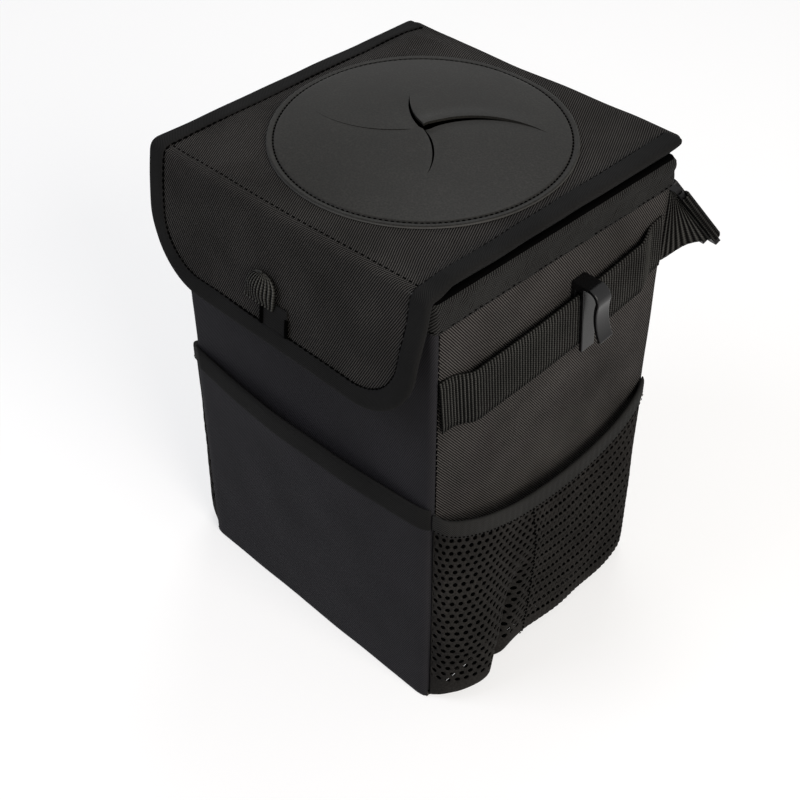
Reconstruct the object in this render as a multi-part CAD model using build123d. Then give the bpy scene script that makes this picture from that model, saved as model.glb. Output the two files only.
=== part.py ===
from build123d import *
import math
import os

# Car trash bin: a stiffened cloth box with a hinged lid, a front flap on the lid, a push-through
# mouth of four petals, net side pockets, a front pocket, bag clips on side straps and a rear belt.
# Millimetres. Origin: centre of the base on the floor. +Z up, -Y is the front, +X its right side.

# Body
body_width = 160.0
body_depth = 150.0
front_corner_r = 2.5
rear_corner_r = 2.5
tight_corner_r = 0.6

# Layers
cloth = 1.2
board = 2.0
liner_film = 0.8
tape = 0.8
webbing = 1.6
net = 1.2
board_play = 0.2
sewn_gap = 0.1
tape_play = 0.05

# Lid
lid_top = 247.0
lid_side_overhang = 2.0
lid_front_overhang = 5.0
lid_rear_overhang = 2.0
lid_rear_corner_r = 8.0
lid_board_margin = 3.0
lid_seat_gap = 0.3
edge_tape_width = 8.0
rim_tape_height = 15.0

# Mouth: a domed sheet sewn on the lid, cut by four curved slits
mouth_r = 68.0
mouth_border = 4.5
mouth_hole_r = 60.0
mouth_sheet_t = 1.2
dome_rise = 6.0
slit_bend_r = 44.0
slit_turn = 75.0
slit_bearings = (82.0, 165.0, 240.0, 340.0)
slit_kerf = 1.6
flex_gap = 0.4
petal_names = ("petal_rear", "petal_left", "petal_front", "petal_right")

# Front flap, hung from the lid's front edge
flap_length = 63.0
flap_corner_r = 32.0
flap_splay = 7.0
fold_gap = 1.5
fold_clear = 0.2
patch_width = 45.0
patch_height = 16.0
patch_t = 0.8
patch_drop = 41.0
tab_width = 18.0
tab_top_drop = 28.0

# Front pocket
pocket_top = 130.0
pocket_foot = 0.6
pocket_half_width = 77.0
pocket_bow_top = 5.0
pocket_bow_foot = 0.3
pocket_tape_width = 12.0

# Net pockets on the sides, two lobes parted by a sewn divider: setback from the front and stand
net_foot = 1.4
net_front_top = 128.0
net_mid_top = 104.0
net_rear_top = 118.0
net_tape_height = 10.0
net_front_lobe = ((3.0, 7.0), (12.0, 12.0), (27.0, 14.5), (44.0, 12.0))
net_divider = (59.0, 9.0)
net_rear_lobe = ((85.0, 9.5), (115.0, 9.0), (135.0, 6.5), (145.0, 3.5))
net_end_wrap = 1.2
net_root = 5.0
net_gap = 9.0
net_strand = 3.2
net_border = 3.0

# Side straps and the clips that slide on them
strap_width = 28.0
strap_drop = 57.0
strap_tilt = 5.0
strap_stand = 3.2
strap_end_sewn = 9.0
strap_ramp = 8.0
strap_end_margin = 1.0
rib_pitch = 3.0
rib_depth = 0.5
clip_width = 8.5
clip_setback = 89.0
clip_wall = 2.0
clip_play = 0.5
clip_back_drop = 15.0
clip_leg_drop = 18.5
clip_head = 4.4
clip_head_r = 2.0
hook_reach = 7.0
hook_bend_r = 5.0
hook_turn_in = 12.0
hook_sweep_r = 30.0
hook_flare = 26.0

# Rear belt: sewn lugs, side-release buckle on the right, slide adjuster on the left
belt_width = 28.0
bar_out = 8.5
bar_back = 11.5
bar_drop = 38.5
belt_lean = 38.0
belt_heading = 48.0
buckle_heading = 168.0
bar_r = 1.5
bar_play = 0.15
frame_side = 3.8
slot_play = 0.6
socket_length = 25.0
socket_t = 8.0
socket_wall = 1.6
slot_length = 4.4
plug_base = 9.0
plug_t = 5.0
plug_play = 0.3
prong_reach = 18.0
prong_t = 2.6
latch_length = 9.0
latch_out = 1.6
adjuster_length = 22.0
adjuster_t = 3.0
adjuster_bar = 3.0
belt_sag_back = 25.5
belt_sag_drop = 18.5
belt_sag_left = 11.0

# Worked-out levels and places
half_width = body_width / 2
half_depth = body_depth / 2
wall = cloth + board + liner_film
floor_top = cloth + board
lid_under = lid_top - cloth - board - liner_film
rim_top = lid_under - tape - lid_seat_gap
wall_top = rim_top - tape
lid_front = -half_depth - lid_front_overhang
lid_rear = half_depth + lid_rear_overhang
lid_half = half_width + lid_side_overhang - tape
strap_height = lid_top - strap_drop
bar_height = lid_top - bar_drop
flap_in = fold_clear + tape
flap_out = flap_in + liner_film + cloth


def slab(sketch, low, high):
    """Raise a flat outline from one level to another."""
    return extrude(Pos(0, 0, low) * sketch, high - low)


def plan(inset):
    """Body outline from above, moved in from the outside face."""
    outline = Rectangle(body_width - 2 * inset, body_depth - 2 * inset)
    rear = outline.vertices().group_by(Axis.Y)[-1]
    outline = fillet(rear, max(rear_corner_r - inset, tight_corner_r))
    front = outline.vertices().group_by(Axis.Y)[0]
    return fillet(front, max(front_corner_r - inset, tight_corner_r))


def wall_ring(outer, inner, low, high):
    """Closed wall between two insets of the body outline."""
    return slab(plan(outer) - plan(inner), low, high)


def block(x, y, z):
    """Box between two limits on each axis."""
    box = Box(x[1] - x[0], y[1] - y[0], z[1] - z[0])
    return Pos((x[0] + x[1]) / 2, (y[0] + y[1]) / 2, (z[0] + z[1]) / 2) * box


def outer_panels():
    """Outer cloth: front and rear panels turn round the corners to the side panels."""
    shell = wall_ring(0, cloth, cloth, wall_top)
    across = (-body_width, body_width)
    height = (-lid_top, 2 * lid_top)
    front_seam = -half_depth + front_corner_r
    rear_seam = half_depth - rear_corner_r
    sides = (shell & block(across, (front_seam, rear_seam), height)).solids().sort_by(Axis.X)
    return {
        "front_panel": shell & block(across, (-body_depth, front_seam), height),
        "rear_panel": shell & block(across, (rear_seam, body_depth), height),
        "left_panel": sides[0],
        "right_panel": sides[-1],
        "base_panel": slab(plan(0), 0, cloth),
    }


def stiffener_boards():
    """Boards between the outer cloth and the liner, on the flat stretches of each wall."""
    height = (floor_top, wall_top)
    front_x = half_width - max(front_corner_r, wall)
    rear_x = half_width - max(rear_corner_r, wall)
    side_y = (-half_depth + max(front_corner_r, wall), half_depth - max(rear_corner_r, wall))
    layer = (cloth, floor_top)
    return {
        "front_board": block((-front_x, front_x), (-half_depth + layer[0], -half_depth + layer[1]), height),
        "rear_board": block((-rear_x, rear_x), (half_depth - layer[1], half_depth - layer[0]), height),
        "left_board": block((-half_width + layer[0], -half_width + layer[1]), side_y, height),
        "right_board": block((half_width - layer[1], half_width - layer[0]), side_y, height),
        "base_board": slab(plan(cloth + board_play), cloth, floor_top),
    }


def liner():
    """Welded waterproof bag inside the boards."""
    outside = slab(plan(floor_top), floor_top, wall_top)
    return outside - slab(plan(wall), floor_top + liner_film, lid_top)


def rim_tape():
    """Wide tape folded over the top edge of the walls."""
    foot = wall_top - rim_tape_height
    outer_leg = wall_ring(-tape, 0, foot, wall_top)
    inner_leg = wall_ring(wall, wall + tape, foot, wall_top)
    return outer_leg + inner_leg + wall_ring(-tape, wall + tape, wall_top, rim_top)


def bowed_band(stand, bow, thickness):
    """Thin strip across the front, bowed outwards, seen from above."""
    back = -half_depth - stand
    face = back - thickness
    half = pocket_half_width
    inner = ThreePointArc((-half, back), (0, back - bow), (half, back))
    outer = ThreePointArc((-half, face), (0, face - bow), (half, face))
    return make_face([inner, Line((half, back), (half, face)), outer, Line((-half, back), (-half, face))])


def pocket_bow(level):
    """Stand of the front pocket's middle at a level."""
    share = (level - pocket_foot) / (pocket_top - pocket_foot)
    return pocket_bow_foot + share * (pocket_bow_top - pocket_bow_foot)


def bowed_sheet(stand, thickness, low, high):
    """Front sheet whose bow grows from one level to another."""
    lower = Pos(0, 0, low) * bowed_band(stand, pocket_bow(low), thickness)
    upper = Pos(0, 0, high) * bowed_band(stand, pocket_bow(high), thickness)
    return loft([lower, upper])


def front_pocket_tape():
    """Tape over the mouth of the front pocket."""
    low = pocket_top - pocket_tape_width
    leg = bowed_sheet(sewn_gap + cloth + tape_play, tape - tape_play, low, pocket_top)
    cap = slab(bowed_band(sewn_gap, pocket_bow_top, cloth + tape), pocket_top, pocket_top + tape)
    return leg + cap


def net_plan(inset):
    """Space between the right side and the net, from above: flat facets along its two lobes."""
    side = half_width + sewn_gap
    front = (side - net_root, -half_depth + front_corner_r - net_end_wrap)
    rear = (side - net_root, half_depth - rear_corner_r + net_end_wrap)
    shape = (*net_front_lobe, net_divider, *net_rear_lobe)
    corners = [(side + stand, -half_depth + setback) for setback, stand in shape]
    outline = make_face(Polyline(front, *corners, rear, close=True))
    if inset:
        outline = offset(outline, -inset, kind=Kind.INTERSECTION)
    return outline & (Pos(side + half_width, 0) * Rectangle(body_width, 2 * body_depth))


def net_mouth(shift):
    """Sagging line of the net's mouth, seen from the side and shifted up."""
    return ThreePointArc(
        (-half_depth, net_front_top + shift),
        (0, net_mid_top + shift),
        (half_depth, net_rear_top + shift),
    )


def net_above(shift):
    """Space above the sagging mouth of the net, shifted up."""
    arc = net_mouth(shift)
    roof = Polyline(arc @ 1, (half_depth, lid_top), (-half_depth, lid_top), arc @ 0)
    return extrude(Plane.YZ * make_face([arc, roof]), body_width)


def net_gaps():
    """Honeycomb of gaps in the net's wall, clear of its tape, foot, ends and divider."""
    pitch = net_gap + net_strand
    row_step = pitch * math.sqrt(3) / 2
    foot = net_foot + net + net_border + net_gap / 2
    first = -half_depth + front_corner_r + net_border + net_gap / 2
    last = half_depth - rear_corner_r - net_border - net_gap / 2
    divider = -half_depth + net_divider[0]
    mouth = net_mouth(-net_tape_height - net_border - net_gap / 2)
    places = []
    for row in range(math.floor((net_front_top - foot) / row_step) + 1):
        level = foot + row * row_step
        for column in range(math.floor((last - first) / pitch) + 1):
            along = first + (column + row % 2 / 2) * pitch
            dip = math.sqrt(mouth.radius**2 - (along - mouth.arc_center.X) ** 2)
            clear_of_divider = abs(along - divider) > (net_gap + net_strand) / 2
            if along <= last and clear_of_divider and level < mouth.arc_center.Y - dip:
                places.append(Pos(along, level))
    hexagon = RegularPolygon(net_gap / 2, 6, major_radius=False, rotation=30)
    return [extrude(Plane.YZ * place * hexagon, body_width) for place in places]


def net_pocket():
    """Right net pocket: wall and floor, open at the top and towards the side panel."""
    space = slab(net_plan(net), net_foot + net, lid_top)
    return slab(net_plan(0), net_foot, lid_top) - space - net_above(0) - net_gaps()


def net_tape():
    """Elastic tape folded over the net's mouth."""
    thick = slab(net_plan(-tape), net_foot, lid_top) - slab(net_plan(net + tape), net_foot, lid_top)
    band = (thick & net_above(-net_tape_height)) - net_above(tape)
    wall_of_net = slab(net_plan(0), net_foot, lid_top) - slab(net_plan(net), net_foot, lid_top)
    return band - (wall_of_net - net_above(0))


def strap_frame():
    """Place of the right side strap: on the side panel, rising to the rear."""
    return Pos(half_width, 0, strap_height) * Rot(strap_tilt, 0, 0)


def side_strap():
    """Ribbed webbing sewn at both ends, standing off the panel between them."""
    front = -half_depth + front_corner_r + strap_end_margin
    rear = half_depth - rear_corner_r - strap_end_margin
    rise = front + strap_end_sewn
    fall = rear - strap_end_sewn
    run = (rise + strap_ramp, fall - strap_ramp)
    count = math.floor((run[1] - run[0]) / rib_pitch)
    outside = [(webbing, front), (webbing, rise)]
    for rib in range(count):
        foot = run[0] + rib * rib_pitch
        outside.append((strap_stand + webbing - rib_depth, foot))
        outside.append((strap_stand + webbing, foot + rib_pitch / 2))
    outside += [(strap_stand + webbing - rib_depth, run[1]), (webbing, fall), (webbing, rear)]
    inside = [(0, rear), (0, fall), (strap_stand, run[1]), (strap_stand, run[0]), (0, rise), (0, front)]
    section = make_face(Polyline(*outside, *inside, close=True))
    return strap_frame() * slab(section, -strap_width / 2, strap_width / 2)


def bag_clip():
    """Moulded clip: one slot holds the strap, the hook in front takes the edge of a bag."""
    top = strap_width / 2 + clip_play
    head_high = top + clip_head
    back = (strap_stand - clip_wall) / 2
    leg = strap_stand + webbing + clip_play
    face = leg + clip_wall

    def upright(x, low):
        return Pos(x + clip_wall / 2, (low + head_high) / 2) * Rectangle(clip_wall, head_high - low)

    head = Pos((back + face) / 2, top + clip_head / 2) * Rectangle(face - back, clip_head)
    head = fillet(head.vertices().group_by(Axis.Y)[-1].sort_by(Axis.X)[0], clip_head_r)
    root = (leg, head_high - clip_wall / 2)
    shoulder = Line(root, (face + hook_reach - hook_bend_r, root[1]))
    bend = JernArc(shoulder @ 1, shoulder % 1, hook_bend_r, -90 - hook_turn_in)
    sweep = JernArc(bend @ 1, bend % 1, hook_sweep_r, hook_turn_in + hook_flare)
    section = head + upright(back, -clip_back_drop) + upright(leg, -clip_leg_drop)
    for stretch in (shoulder, bend, sweep):
        section += trace(stretch, clip_wall)
    clip = extrude(Plane.XZ * section, clip_width / 2, both=True)
    return strap_frame() * Pos(0, -half_depth + clip_setback, 0) * clip


def lid_outline(margin):
    """Lid outline from above, square at the fold and rounded at the rear."""
    length = lid_rear - lid_front - margin
    outline = Pos(0, lid_front + length / 2) * Rectangle(2 * (lid_half - margin), length)
    return fillet(outline.vertices().group_by(Axis.Y)[-1], lid_rear_corner_r)


def lid_layers():
    """Top cloth, stiffener and lining of the lid, open under the mouth."""
    hole = Circle(mouth_hole_r)
    board_top = lid_top - cloth
    board_low = board_top - board
    return {
        "lid_panel": slab(lid_outline(0) - hole, board_top, lid_top),
        "lid_board": slab(lid_outline(lid_board_margin) - hole, board_low, board_top),
        "lid_lining": slab(lid_outline(0) - hole, lid_under, board_low),
    }


def lid_tape():
    """Tape folded round the lid's right edge."""
    inner_x = lid_half - edge_tape_width
    along = (lid_front, lid_rear - lid_rear_corner_r)
    outside = block((inner_x, lid_half + tape), along, (lid_under - tape, lid_top + tape))
    return outside - block((inner_x - tape, lid_half), along, (lid_under, lid_top))


def mouth_dome():
    """Whole mouth sheet before it is cut: flat sewn border and shallow dome."""
    span = mouth_r - mouth_border
    ball_r = (span**2 + dome_rise**2) / (2 * dome_rise)
    ball = Pos(0, 0, lid_top + dome_rise - ball_r) * Sphere(ball_r)
    crown = slab(Circle(span), lid_top, lid_top + dome_rise + mouth_sheet_t)
    dome = crown & (Pos(0, 0, mouth_sheet_t) * ball)
    border = slab(Circle(mouth_r) - Circle(span), lid_top, lid_top + mouth_sheet_t)
    return dome - ball + border


def slit_point(bearing, turn):
    """Point on a slit that leaves the centre at a bearing and bends to the right."""
    heading = math.radians(bearing)
    swung = math.radians(bearing + 90 - turn)
    return (
        slit_bend_r * (math.sin(heading) + math.cos(swung)),
        slit_bend_r * (-math.cos(heading) + math.sin(swung)),
    )


def slit(bearing):
    """Kerf of one slit, seen from above."""
    heading = math.radians(bearing)
    centre = (slit_bend_r * math.sin(heading), -slit_bend_r * math.cos(heading))
    return trace(CenterArc(centre, slit_bend_r, bearing + 90, -slit_turn), slit_kerf)


def mouth_pieces():
    """Fixed part of the mouth sheet and the four petals that bend at its edge."""
    dome = mouth_dome()
    low = lid_top - mouth_sheet_t
    high = lid_top + 2 * (dome_rise + mouth_sheet_t)
    ends = [slit_point(bearing, slit_turn) for bearing in slit_bearings]
    opening = make_face(Polyline(*ends, close=True))
    cuts = [slab(slit(bearing), low, high) for bearing in slit_bearings]
    pieces = {"mouth_sheet": dome - slab(opening, low, high)}
    leaves = dome & slab(offset(opening, -flex_gap), low, high)
    for cut in cuts:
        leaves = leaves - cut
    for index, name in enumerate(petal_names):
        start, end = Vector(*ends[index]), Vector(*ends[(index + 1) % len(ends)])
        middle = (start + end) / 2
        pieces[name] = leaves.solids().sort_by_distance((middle.X, middle.Y, lid_top))[0]
    return pieces


def flap_frame():
    """Plane of the flap: origin on the fold, local Y up the flap, local Z out to the front."""
    splay = math.radians(flap_splay)
    return Plane((0, lid_front, lid_top), x_dir=(1, 0, 0), z_dir=(0, -math.cos(splay), math.sin(splay)))


def flap_outline(grow):
    """Flap outline, square at the fold and round at its lower corners."""
    length = flap_length - tape + grow
    face = Pos(0, -(fold_gap + length) / 2) * Rectangle(2 * (lid_half + grow), length - fold_gap)
    return fillet(face.vertices().group_by(Axis.Y)[0], flap_corner_r + grow)


def flap_pieces():
    """Cloth, lining, edge tape, fastener patch and pull tab of the front flap."""
    place = flap_frame()
    mid = flap_in + liner_film
    rim = slab(flap_outline(tape), flap_in - tape, flap_out + tape)
    rim -= slab(flap_outline(0), flap_in, flap_out)
    rim -= slab(flap_outline(-edge_tape_width), 0, flap_out + 2 * tape)
    patch = Pos(0, -patch_drop) * Rectangle(patch_width, patch_height)
    tab_foot = -(flap_length - tape - edge_tape_width)
    tab_high = -tab_top_drop - tab_width / 2
    tab = Pos(0, (tab_foot + tab_high) / 2) * Rectangle(tab_width, tab_high - tab_foot)
    tab += Pos(0, tab_high) * Circle(tab_width / 2)
    return {
        "flap_panel": place * slab(flap_outline(0), mid, flap_out),
        "flap_lining": place * slab(flap_outline(0), flap_in, mid),
        "flap_tape": place * rim,
        "hook_patch": place * slab(patch, flap_in - patch_t, flap_in),
        "pull_tab": place * slab(tab, flap_out, flap_out + webbing),
    }


def loop_patch():
    """Loop half of the flap's fastener, on the front panel behind the hook half."""
    level = lid_top - patch_drop * math.cos(math.radians(flap_splay))
    face = Pos(0, level) * Rectangle(patch_width, patch_height)
    return extrude(Plane((0, -half_depth, 0), x_dir=(1, 0, 0), z_dir=(0, -1, 0)) * face, patch_t)


def bar_frame():
    """Frame of the right belt bar: X along the belt, Y up across it, Z out to the rear."""
    lean = math.radians(belt_lean)
    heading = math.radians(belt_heading)
    up = Vector(-math.sin(lean) * math.cos(heading), -math.sin(lean) * math.sin(heading), math.cos(lean))
    run = Vector(math.cos(math.radians(buckle_heading)), math.sin(math.radians(buckle_heading)), 0)
    along = (run - up * run.dot(up)).normalized()
    origin = (half_width + bar_out, half_depth + bar_back, bar_height)
    return Plane(origin, x_dir=along, z_dir=along.cross(up))


def eye(x):
    """Sewn loop of webbing round a bar."""
    inner = bar_r + bar_play
    ring = Circle(inner + webbing) - Circle(inner)
    return Pos(x, 0, 0) * extrude(Plane.XZ * ring, belt_width / 2, both=True)


def band_section(origin, up, along):
    """Cross-section of the belt at one place."""
    return Plane(origin, x_dir=up, z_dir=along) * Rectangle(belt_width, webbing)


def belt_lug():
    """Short webbing from the right rear corner to its bar, turning as it goes."""
    frame = bar_frame()
    corner = Vector(half_width - rear_corner_r, half_depth - rear_corner_r, bar_height)
    out = Vector(1, 1, 0).normalized()
    start = corner + out * (rear_corner_r + sewn_gap)
    up = frame.y_dir
    run = (frame.origin - start).normalized()
    run = (run - up * run.dot(up)).normalized()
    end = frame.origin - run * (bar_r + bar_play + webbing / 2)
    band = loft([band_section(start, Vector(0, 0, 1), out), band_section(end, up, run)])
    return band + (frame * eye(0)) - (frame * bar_space(0))


def bar_space(x):
    """Space that a bar and its play take inside a webbing loop."""
    return Pos(x, 0, 0) * extrude(Plane.XZ * Circle(bar_r + bar_play), belt_width, both=True)


def bar(x):
    """Round bar across a buckle or adjuster."""
    half = belt_width / 2 + slot_play + frame_side / 2
    return Pos(x, 0, 0) * extrude(Plane.XZ * Circle(bar_r), half, both=True)


def side_arms(x0, x1, thickness):
    """Two arms that carry a bar beside the webbing."""
    inner = belt_width / 2 + slot_play
    arms = block((x0, x1), (inner, inner + frame_side), (-thickness / 2, thickness / 2))
    return arms + mirror(arms, about=Plane.XZ)


def buckle_socket():
    """Receiving half of the buckle, open at its mouth and at both sides for the latches."""
    half = belt_width / 2 + slot_play + frame_side
    mouth = socket_mouth()
    rear = mouth - socket_length
    shell = slab(Pos((rear + mouth) / 2, 0) * RectangleRounded(socket_length, 2 * half, socket_wall),
                 -socket_t / 2, socket_t / 2)
    hollow = socket_t / 2 - socket_wall
    shell -= block((rear + socket_wall, mouth + socket_wall), (-half + socket_wall, half - socket_wall),
                   (-hollow, hollow))
    window = (mouth - prong_reach, mouth - prong_reach + latch_length + 2 * plug_play)
    shell -= block(window, (-2 * half, 2 * half), (-hollow, hollow))
    return bar_frame() * (shell + side_arms(0, rear, 2 * bar_r) + bar(0))


def socket_mouth():
    """Distance of the socket's mouth from its bar."""
    return bar_r + bar_play + slot_length + socket_length


def plug_bar_x():
    """Distance of the plug's bar from the socket's bar."""
    return socket_mouth() + plug_play + plug_base + slot_length + bar_r + bar_play


def buckle_plug():
    """Inserted half of the buckle: base with a bar, two sprung prongs and a guide."""
    mouth = socket_mouth() + plug_play
    half = belt_width / 2 + slot_play + frame_side
    inside = half - socket_wall - plug_play
    thick = socket_t / 2 - socket_wall - plug_play
    tip = mouth - prong_reach
    base = block((mouth, mouth + plug_base), (-half, half), (-plug_t / 2, plug_t / 2))
    prong = block((tip, mouth), (inside - prong_t, inside), (-thick, thick))
    prong += block((tip, tip + latch_length), (inside - prong_t, inside + latch_out), (-thick, thick))
    prong += mirror(prong, about=Plane.XZ)
    guide = block((tip, mouth), (-prong_t / 2, prong_t / 2), (-thick, thick))
    arms = side_arms(mouth + plug_base, plug_bar_x(), 2 * bar_r)
    return bar_frame() * (base + prong + guide + arms + bar(plug_bar_x()))


def strap_adjuster():
    """Slide adjuster: a flat frame with a bar at each end and one in the middle."""
    middle = block((adjuster_length / 2 - adjuster_bar / 2, adjuster_length / 2 + adjuster_bar / 2),
                   (-belt_width / 2 - slot_play, belt_width / 2 + slot_play),
                   (-adjuster_t / 2, adjuster_t / 2))
    frame = side_arms(0, adjuster_length, adjuster_t) + middle + bar(0) + bar(adjuster_length)
    return mirror(bar_frame() * frame, about=Plane.YZ)


def hang_strap():
    """Long webbing from the plug, sagging behind the bin, to the adjuster."""
    right = bar_frame()
    x0 = plug_bar_x()
    x1 = adjuster_length
    reach = bar_r + bar_play + webbing / 2
    flip = Vector(-1, 1, 1)
    start = right.from_local_coords(Vector(x0 + reach, 0, 0))
    left_end = right.from_local_coords(Vector(x1 + reach, 0, 0))
    end = Vector(left_end.X * flip.X, left_end.Y, left_end.Z)
    end_up = Vector(right.y_dir.X * flip.X, right.y_dir.Y, right.y_dir.Z)
    end_run = Vector(right.x_dir.X, -right.x_dir.Y, -right.x_dir.Z)
    middle = Vector(-belt_sag_left, half_depth + bar_back + belt_sag_back, bar_height - belt_sag_drop)
    lean = math.radians(belt_lean)
    mid_up = Vector(0, -math.sin(lean), math.cos(lean))
    band = loft([
        band_section(start, right.y_dir, right.x_dir),
        band_section(middle, mid_up, Vector(-1, 0, 0)),
        band_section(end, end_up, end_run),
    ])
    plug_eye = right * eye(x0)
    adjuster_eye = mirror(right * eye(x1), about=Plane.YZ)
    spaces = (right * bar_space(x0)) + mirror(right * bar_space(x1), about=Plane.YZ)
    return band + plug_eye + adjuster_eye - spaces


def left_of(part):
    """The same piece on the left side."""
    return mirror(part, about=Plane.YZ)


pieces = {}
pieces.update(outer_panels())
pieces.update(stiffener_boards())
pieces["liner"] = liner()
pieces["rim_tape"] = rim_tape()
pieces["front_pocket"] = bowed_sheet(sewn_gap, cloth, pocket_foot, pocket_top)
pieces["front_pocket_tape"] = front_pocket_tape()
pieces["loop_patch"] = loop_patch()
pieces.update(lid_layers())
pieces.update(mouth_pieces())
pieces.update(flap_pieces())
pieces["buckle_socket"] = buckle_socket()
pieces["buckle_plug"] = buckle_plug()
pieces["strap_adjuster"] = strap_adjuster()
pieces["hang_strap"] = hang_strap()
paired = {
    "net_pocket": net_pocket(),
    "net_tape": net_tape(),
    "side_strap": side_strap(),
    "bag_clip": bag_clip(),
    "lid_tape": lid_tape(),
    "belt_lug": belt_lug(),
}
for name, part in paired.items():
    pieces[name + "_right"] = part
    pieces[name + "_left"] = left_of(part)

os.makedirs("parts", exist_ok=True)
for name, part in pieces.items():
    export_step(part, f"parts/{name}.step")
    print(f"{name}: {part.volume:.0f} mm3")
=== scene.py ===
# %% [markdown]
# # Car trash bin: how it looks
# The real bin is sewn. Each wall is cloth over a stiff board with a film liner inside, the lid's cloth
# runs on over the front as a flap, and a slit sheet of synthetic leather closes the mouth. The CAD frame
# holds the true sizes and the bodies that move. This script lays the sewn surfaces over it. Nearly every
# piece is made the way it is cut: a flat rectangle of cloth, bent into place by a function.

# %% Open the frame
from bisect import bisect_left
from math import asin, atan2, cos, exp, pi, radians, sin, sqrt

import bmesh
import bpy
from mathutils import Matrix, Vector, noise


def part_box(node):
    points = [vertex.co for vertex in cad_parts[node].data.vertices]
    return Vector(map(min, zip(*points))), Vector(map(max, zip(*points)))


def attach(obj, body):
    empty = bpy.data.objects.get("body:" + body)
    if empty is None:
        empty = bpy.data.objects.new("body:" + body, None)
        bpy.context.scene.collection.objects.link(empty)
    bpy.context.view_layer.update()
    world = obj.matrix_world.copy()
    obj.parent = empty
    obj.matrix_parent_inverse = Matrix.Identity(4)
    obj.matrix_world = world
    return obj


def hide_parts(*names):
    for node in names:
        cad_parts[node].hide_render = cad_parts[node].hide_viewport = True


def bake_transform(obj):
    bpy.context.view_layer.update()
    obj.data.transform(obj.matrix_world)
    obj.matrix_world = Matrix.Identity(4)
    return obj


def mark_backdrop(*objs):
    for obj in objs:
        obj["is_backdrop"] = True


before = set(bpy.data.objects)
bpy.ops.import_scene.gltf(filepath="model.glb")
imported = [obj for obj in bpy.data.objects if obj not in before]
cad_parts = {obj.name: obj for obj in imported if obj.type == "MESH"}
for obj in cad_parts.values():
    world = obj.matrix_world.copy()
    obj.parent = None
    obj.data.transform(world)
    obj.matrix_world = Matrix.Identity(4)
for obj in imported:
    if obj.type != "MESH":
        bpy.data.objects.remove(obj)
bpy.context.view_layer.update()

mm = 0.001

# %% [markdown]
# ## Sizes
# Sizes that the frame knows are read from its nodes. Cloth thicknesses are the ones the layers are built
# from.

# %% Sizes of the body and the lid
half_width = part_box("right_panel")[1].x
half_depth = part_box("rear_panel")[1].y
wall_foot, wall_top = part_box("front_panel")[0].z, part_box("front_panel")[1].z
lid_low, lid_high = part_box("lid_panel")
lid_half, lid_rear, lid_top, lid_front = lid_high.x, lid_high.y, lid_high.z, lid_low.y
cloth, board, film, tape, webbing = 1.2 * mm, 2.0 * mm, 0.8 * mm, 0.8 * mm, 1.6 * mm
wall = cloth + board + film
print("half width", half_width, "half depth", half_depth, "lid top", lid_top)

# %% [markdown]
# ## The way round the body
# Walls, rim and pockets all follow the same outline seen from above. One function walks it: a distance
# from the middle of the front, counterclockwise, and how far out from the cloth. The corners are folded
# crisply. Far inside, a corner is sharp, so the point is held in the inner box.

# %% Outline of the body
front_r, rear_r = 2.5 * mm, 2.5 * mm
corners = [
    (half_width - front_r, front_r - half_depth, front_r, -90),
    (half_width - rear_r, half_depth - rear_r, rear_r, 0),
    (rear_r - half_width, half_depth - rear_r, rear_r, 90),
    (front_r - half_width, front_r - half_depth, front_r, 180),
]
front_seam = half_width - front_r + front_r * pi / 2
rear_seam = front_seam + 2 * half_depth - front_r - rear_r
left_rear_seam = rear_seam + rear_r * pi + 2 * (half_width - rear_r)
left_front_seam = left_rear_seam + rear_seam - front_seam
perimeter = left_front_seam + front_seam


def way(degrees):
    """Direction at a bearing, seen from above."""
    return Vector((cos(radians(degrees)), sin(radians(degrees)), 0))


def outline(distance, out):
    """Point on the body's outline, a distance round it and some way out."""
    distance %= perimeter
    point = Vector((distance, -half_depth - out, 0))
    here = Vector((0, -half_depth, 0))
    for x, y, radius, turn in corners:
        centre = Vector((x, y, 0))
        run = (centre + way(turn) * radius - here).length
        if distance <= run:
            point = here + way(turn + 90) * distance + way(turn) * out
            break
        distance -= run
        arc = radius * pi / 2
        if distance <= arc:
            point = centre + way(turn + 90 * distance / arc) * (radius + out)
            break
        distance -= arc
        here = centre + way(turn + 90) * radius
        point = here + way(turn + 180) * distance + way(turn + 90) * out
    limit_x, limit_y = half_width + out, half_depth + out
    return Vector((max(-limit_x, min(limit_x, point.x)), max(-limit_y, min(limit_y, point.y)), 0))


print("round the body", round(perimeter / mm, 1), "mm")

# %% [markdown]
# ## Cloth as a grid
# A grid of quads is the simplest flat cut. Its flat size is kept in a map called weave, in metres, so
# that the threads of the finish keep their real size when the cloth is bent. Thickness comes last, as a
# modifier.

# %% Grid of cloth
def cloth_grid(columns, rows, place, size, flat=None):
    """Grid laid out by place(u, v). Its normal is the side that u and v turn round counterclockwise."""
    bm = bmesh.new()
    weave = bm.loops.layers.uv.new("weave")
    bmesh.ops.create_grid(bm, x_segments=columns, y_segments=rows, size=0.5)
    for face in bm.faces:
        for loop in face.loops:
            u, v = loop.vert.co.x + 0.5, loop.vert.co.y + 0.5
            loop[weave].uv = flat(u, v) if flat else (u * size[0], v * size[1])
    for vert in bm.verts:
        vert.co = place(vert.co.x + 0.5, vert.co.y + 0.5)
    return bm


# %% Piece and thickness
def piece(name, bm, look, body=None, stands_for=()):
    """Object made of a built mesh, that moves with a body and stands for its CAD nodes."""
    mesh = bpy.data.meshes.new(name)
    bm.to_mesh(mesh)
    bm.free()
    mesh.materials.append(look)
    mesh.polygons.foreach_set("use_smooth", [True] * len(mesh.polygons))
    made = bpy.data.objects.new(name, mesh)
    bpy.context.collection.objects.link(made)
    if body:
        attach(made, body)
    if stands_for:
        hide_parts(*stands_for)
    print(name, len(mesh.polygons), "faces")
    return made


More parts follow.
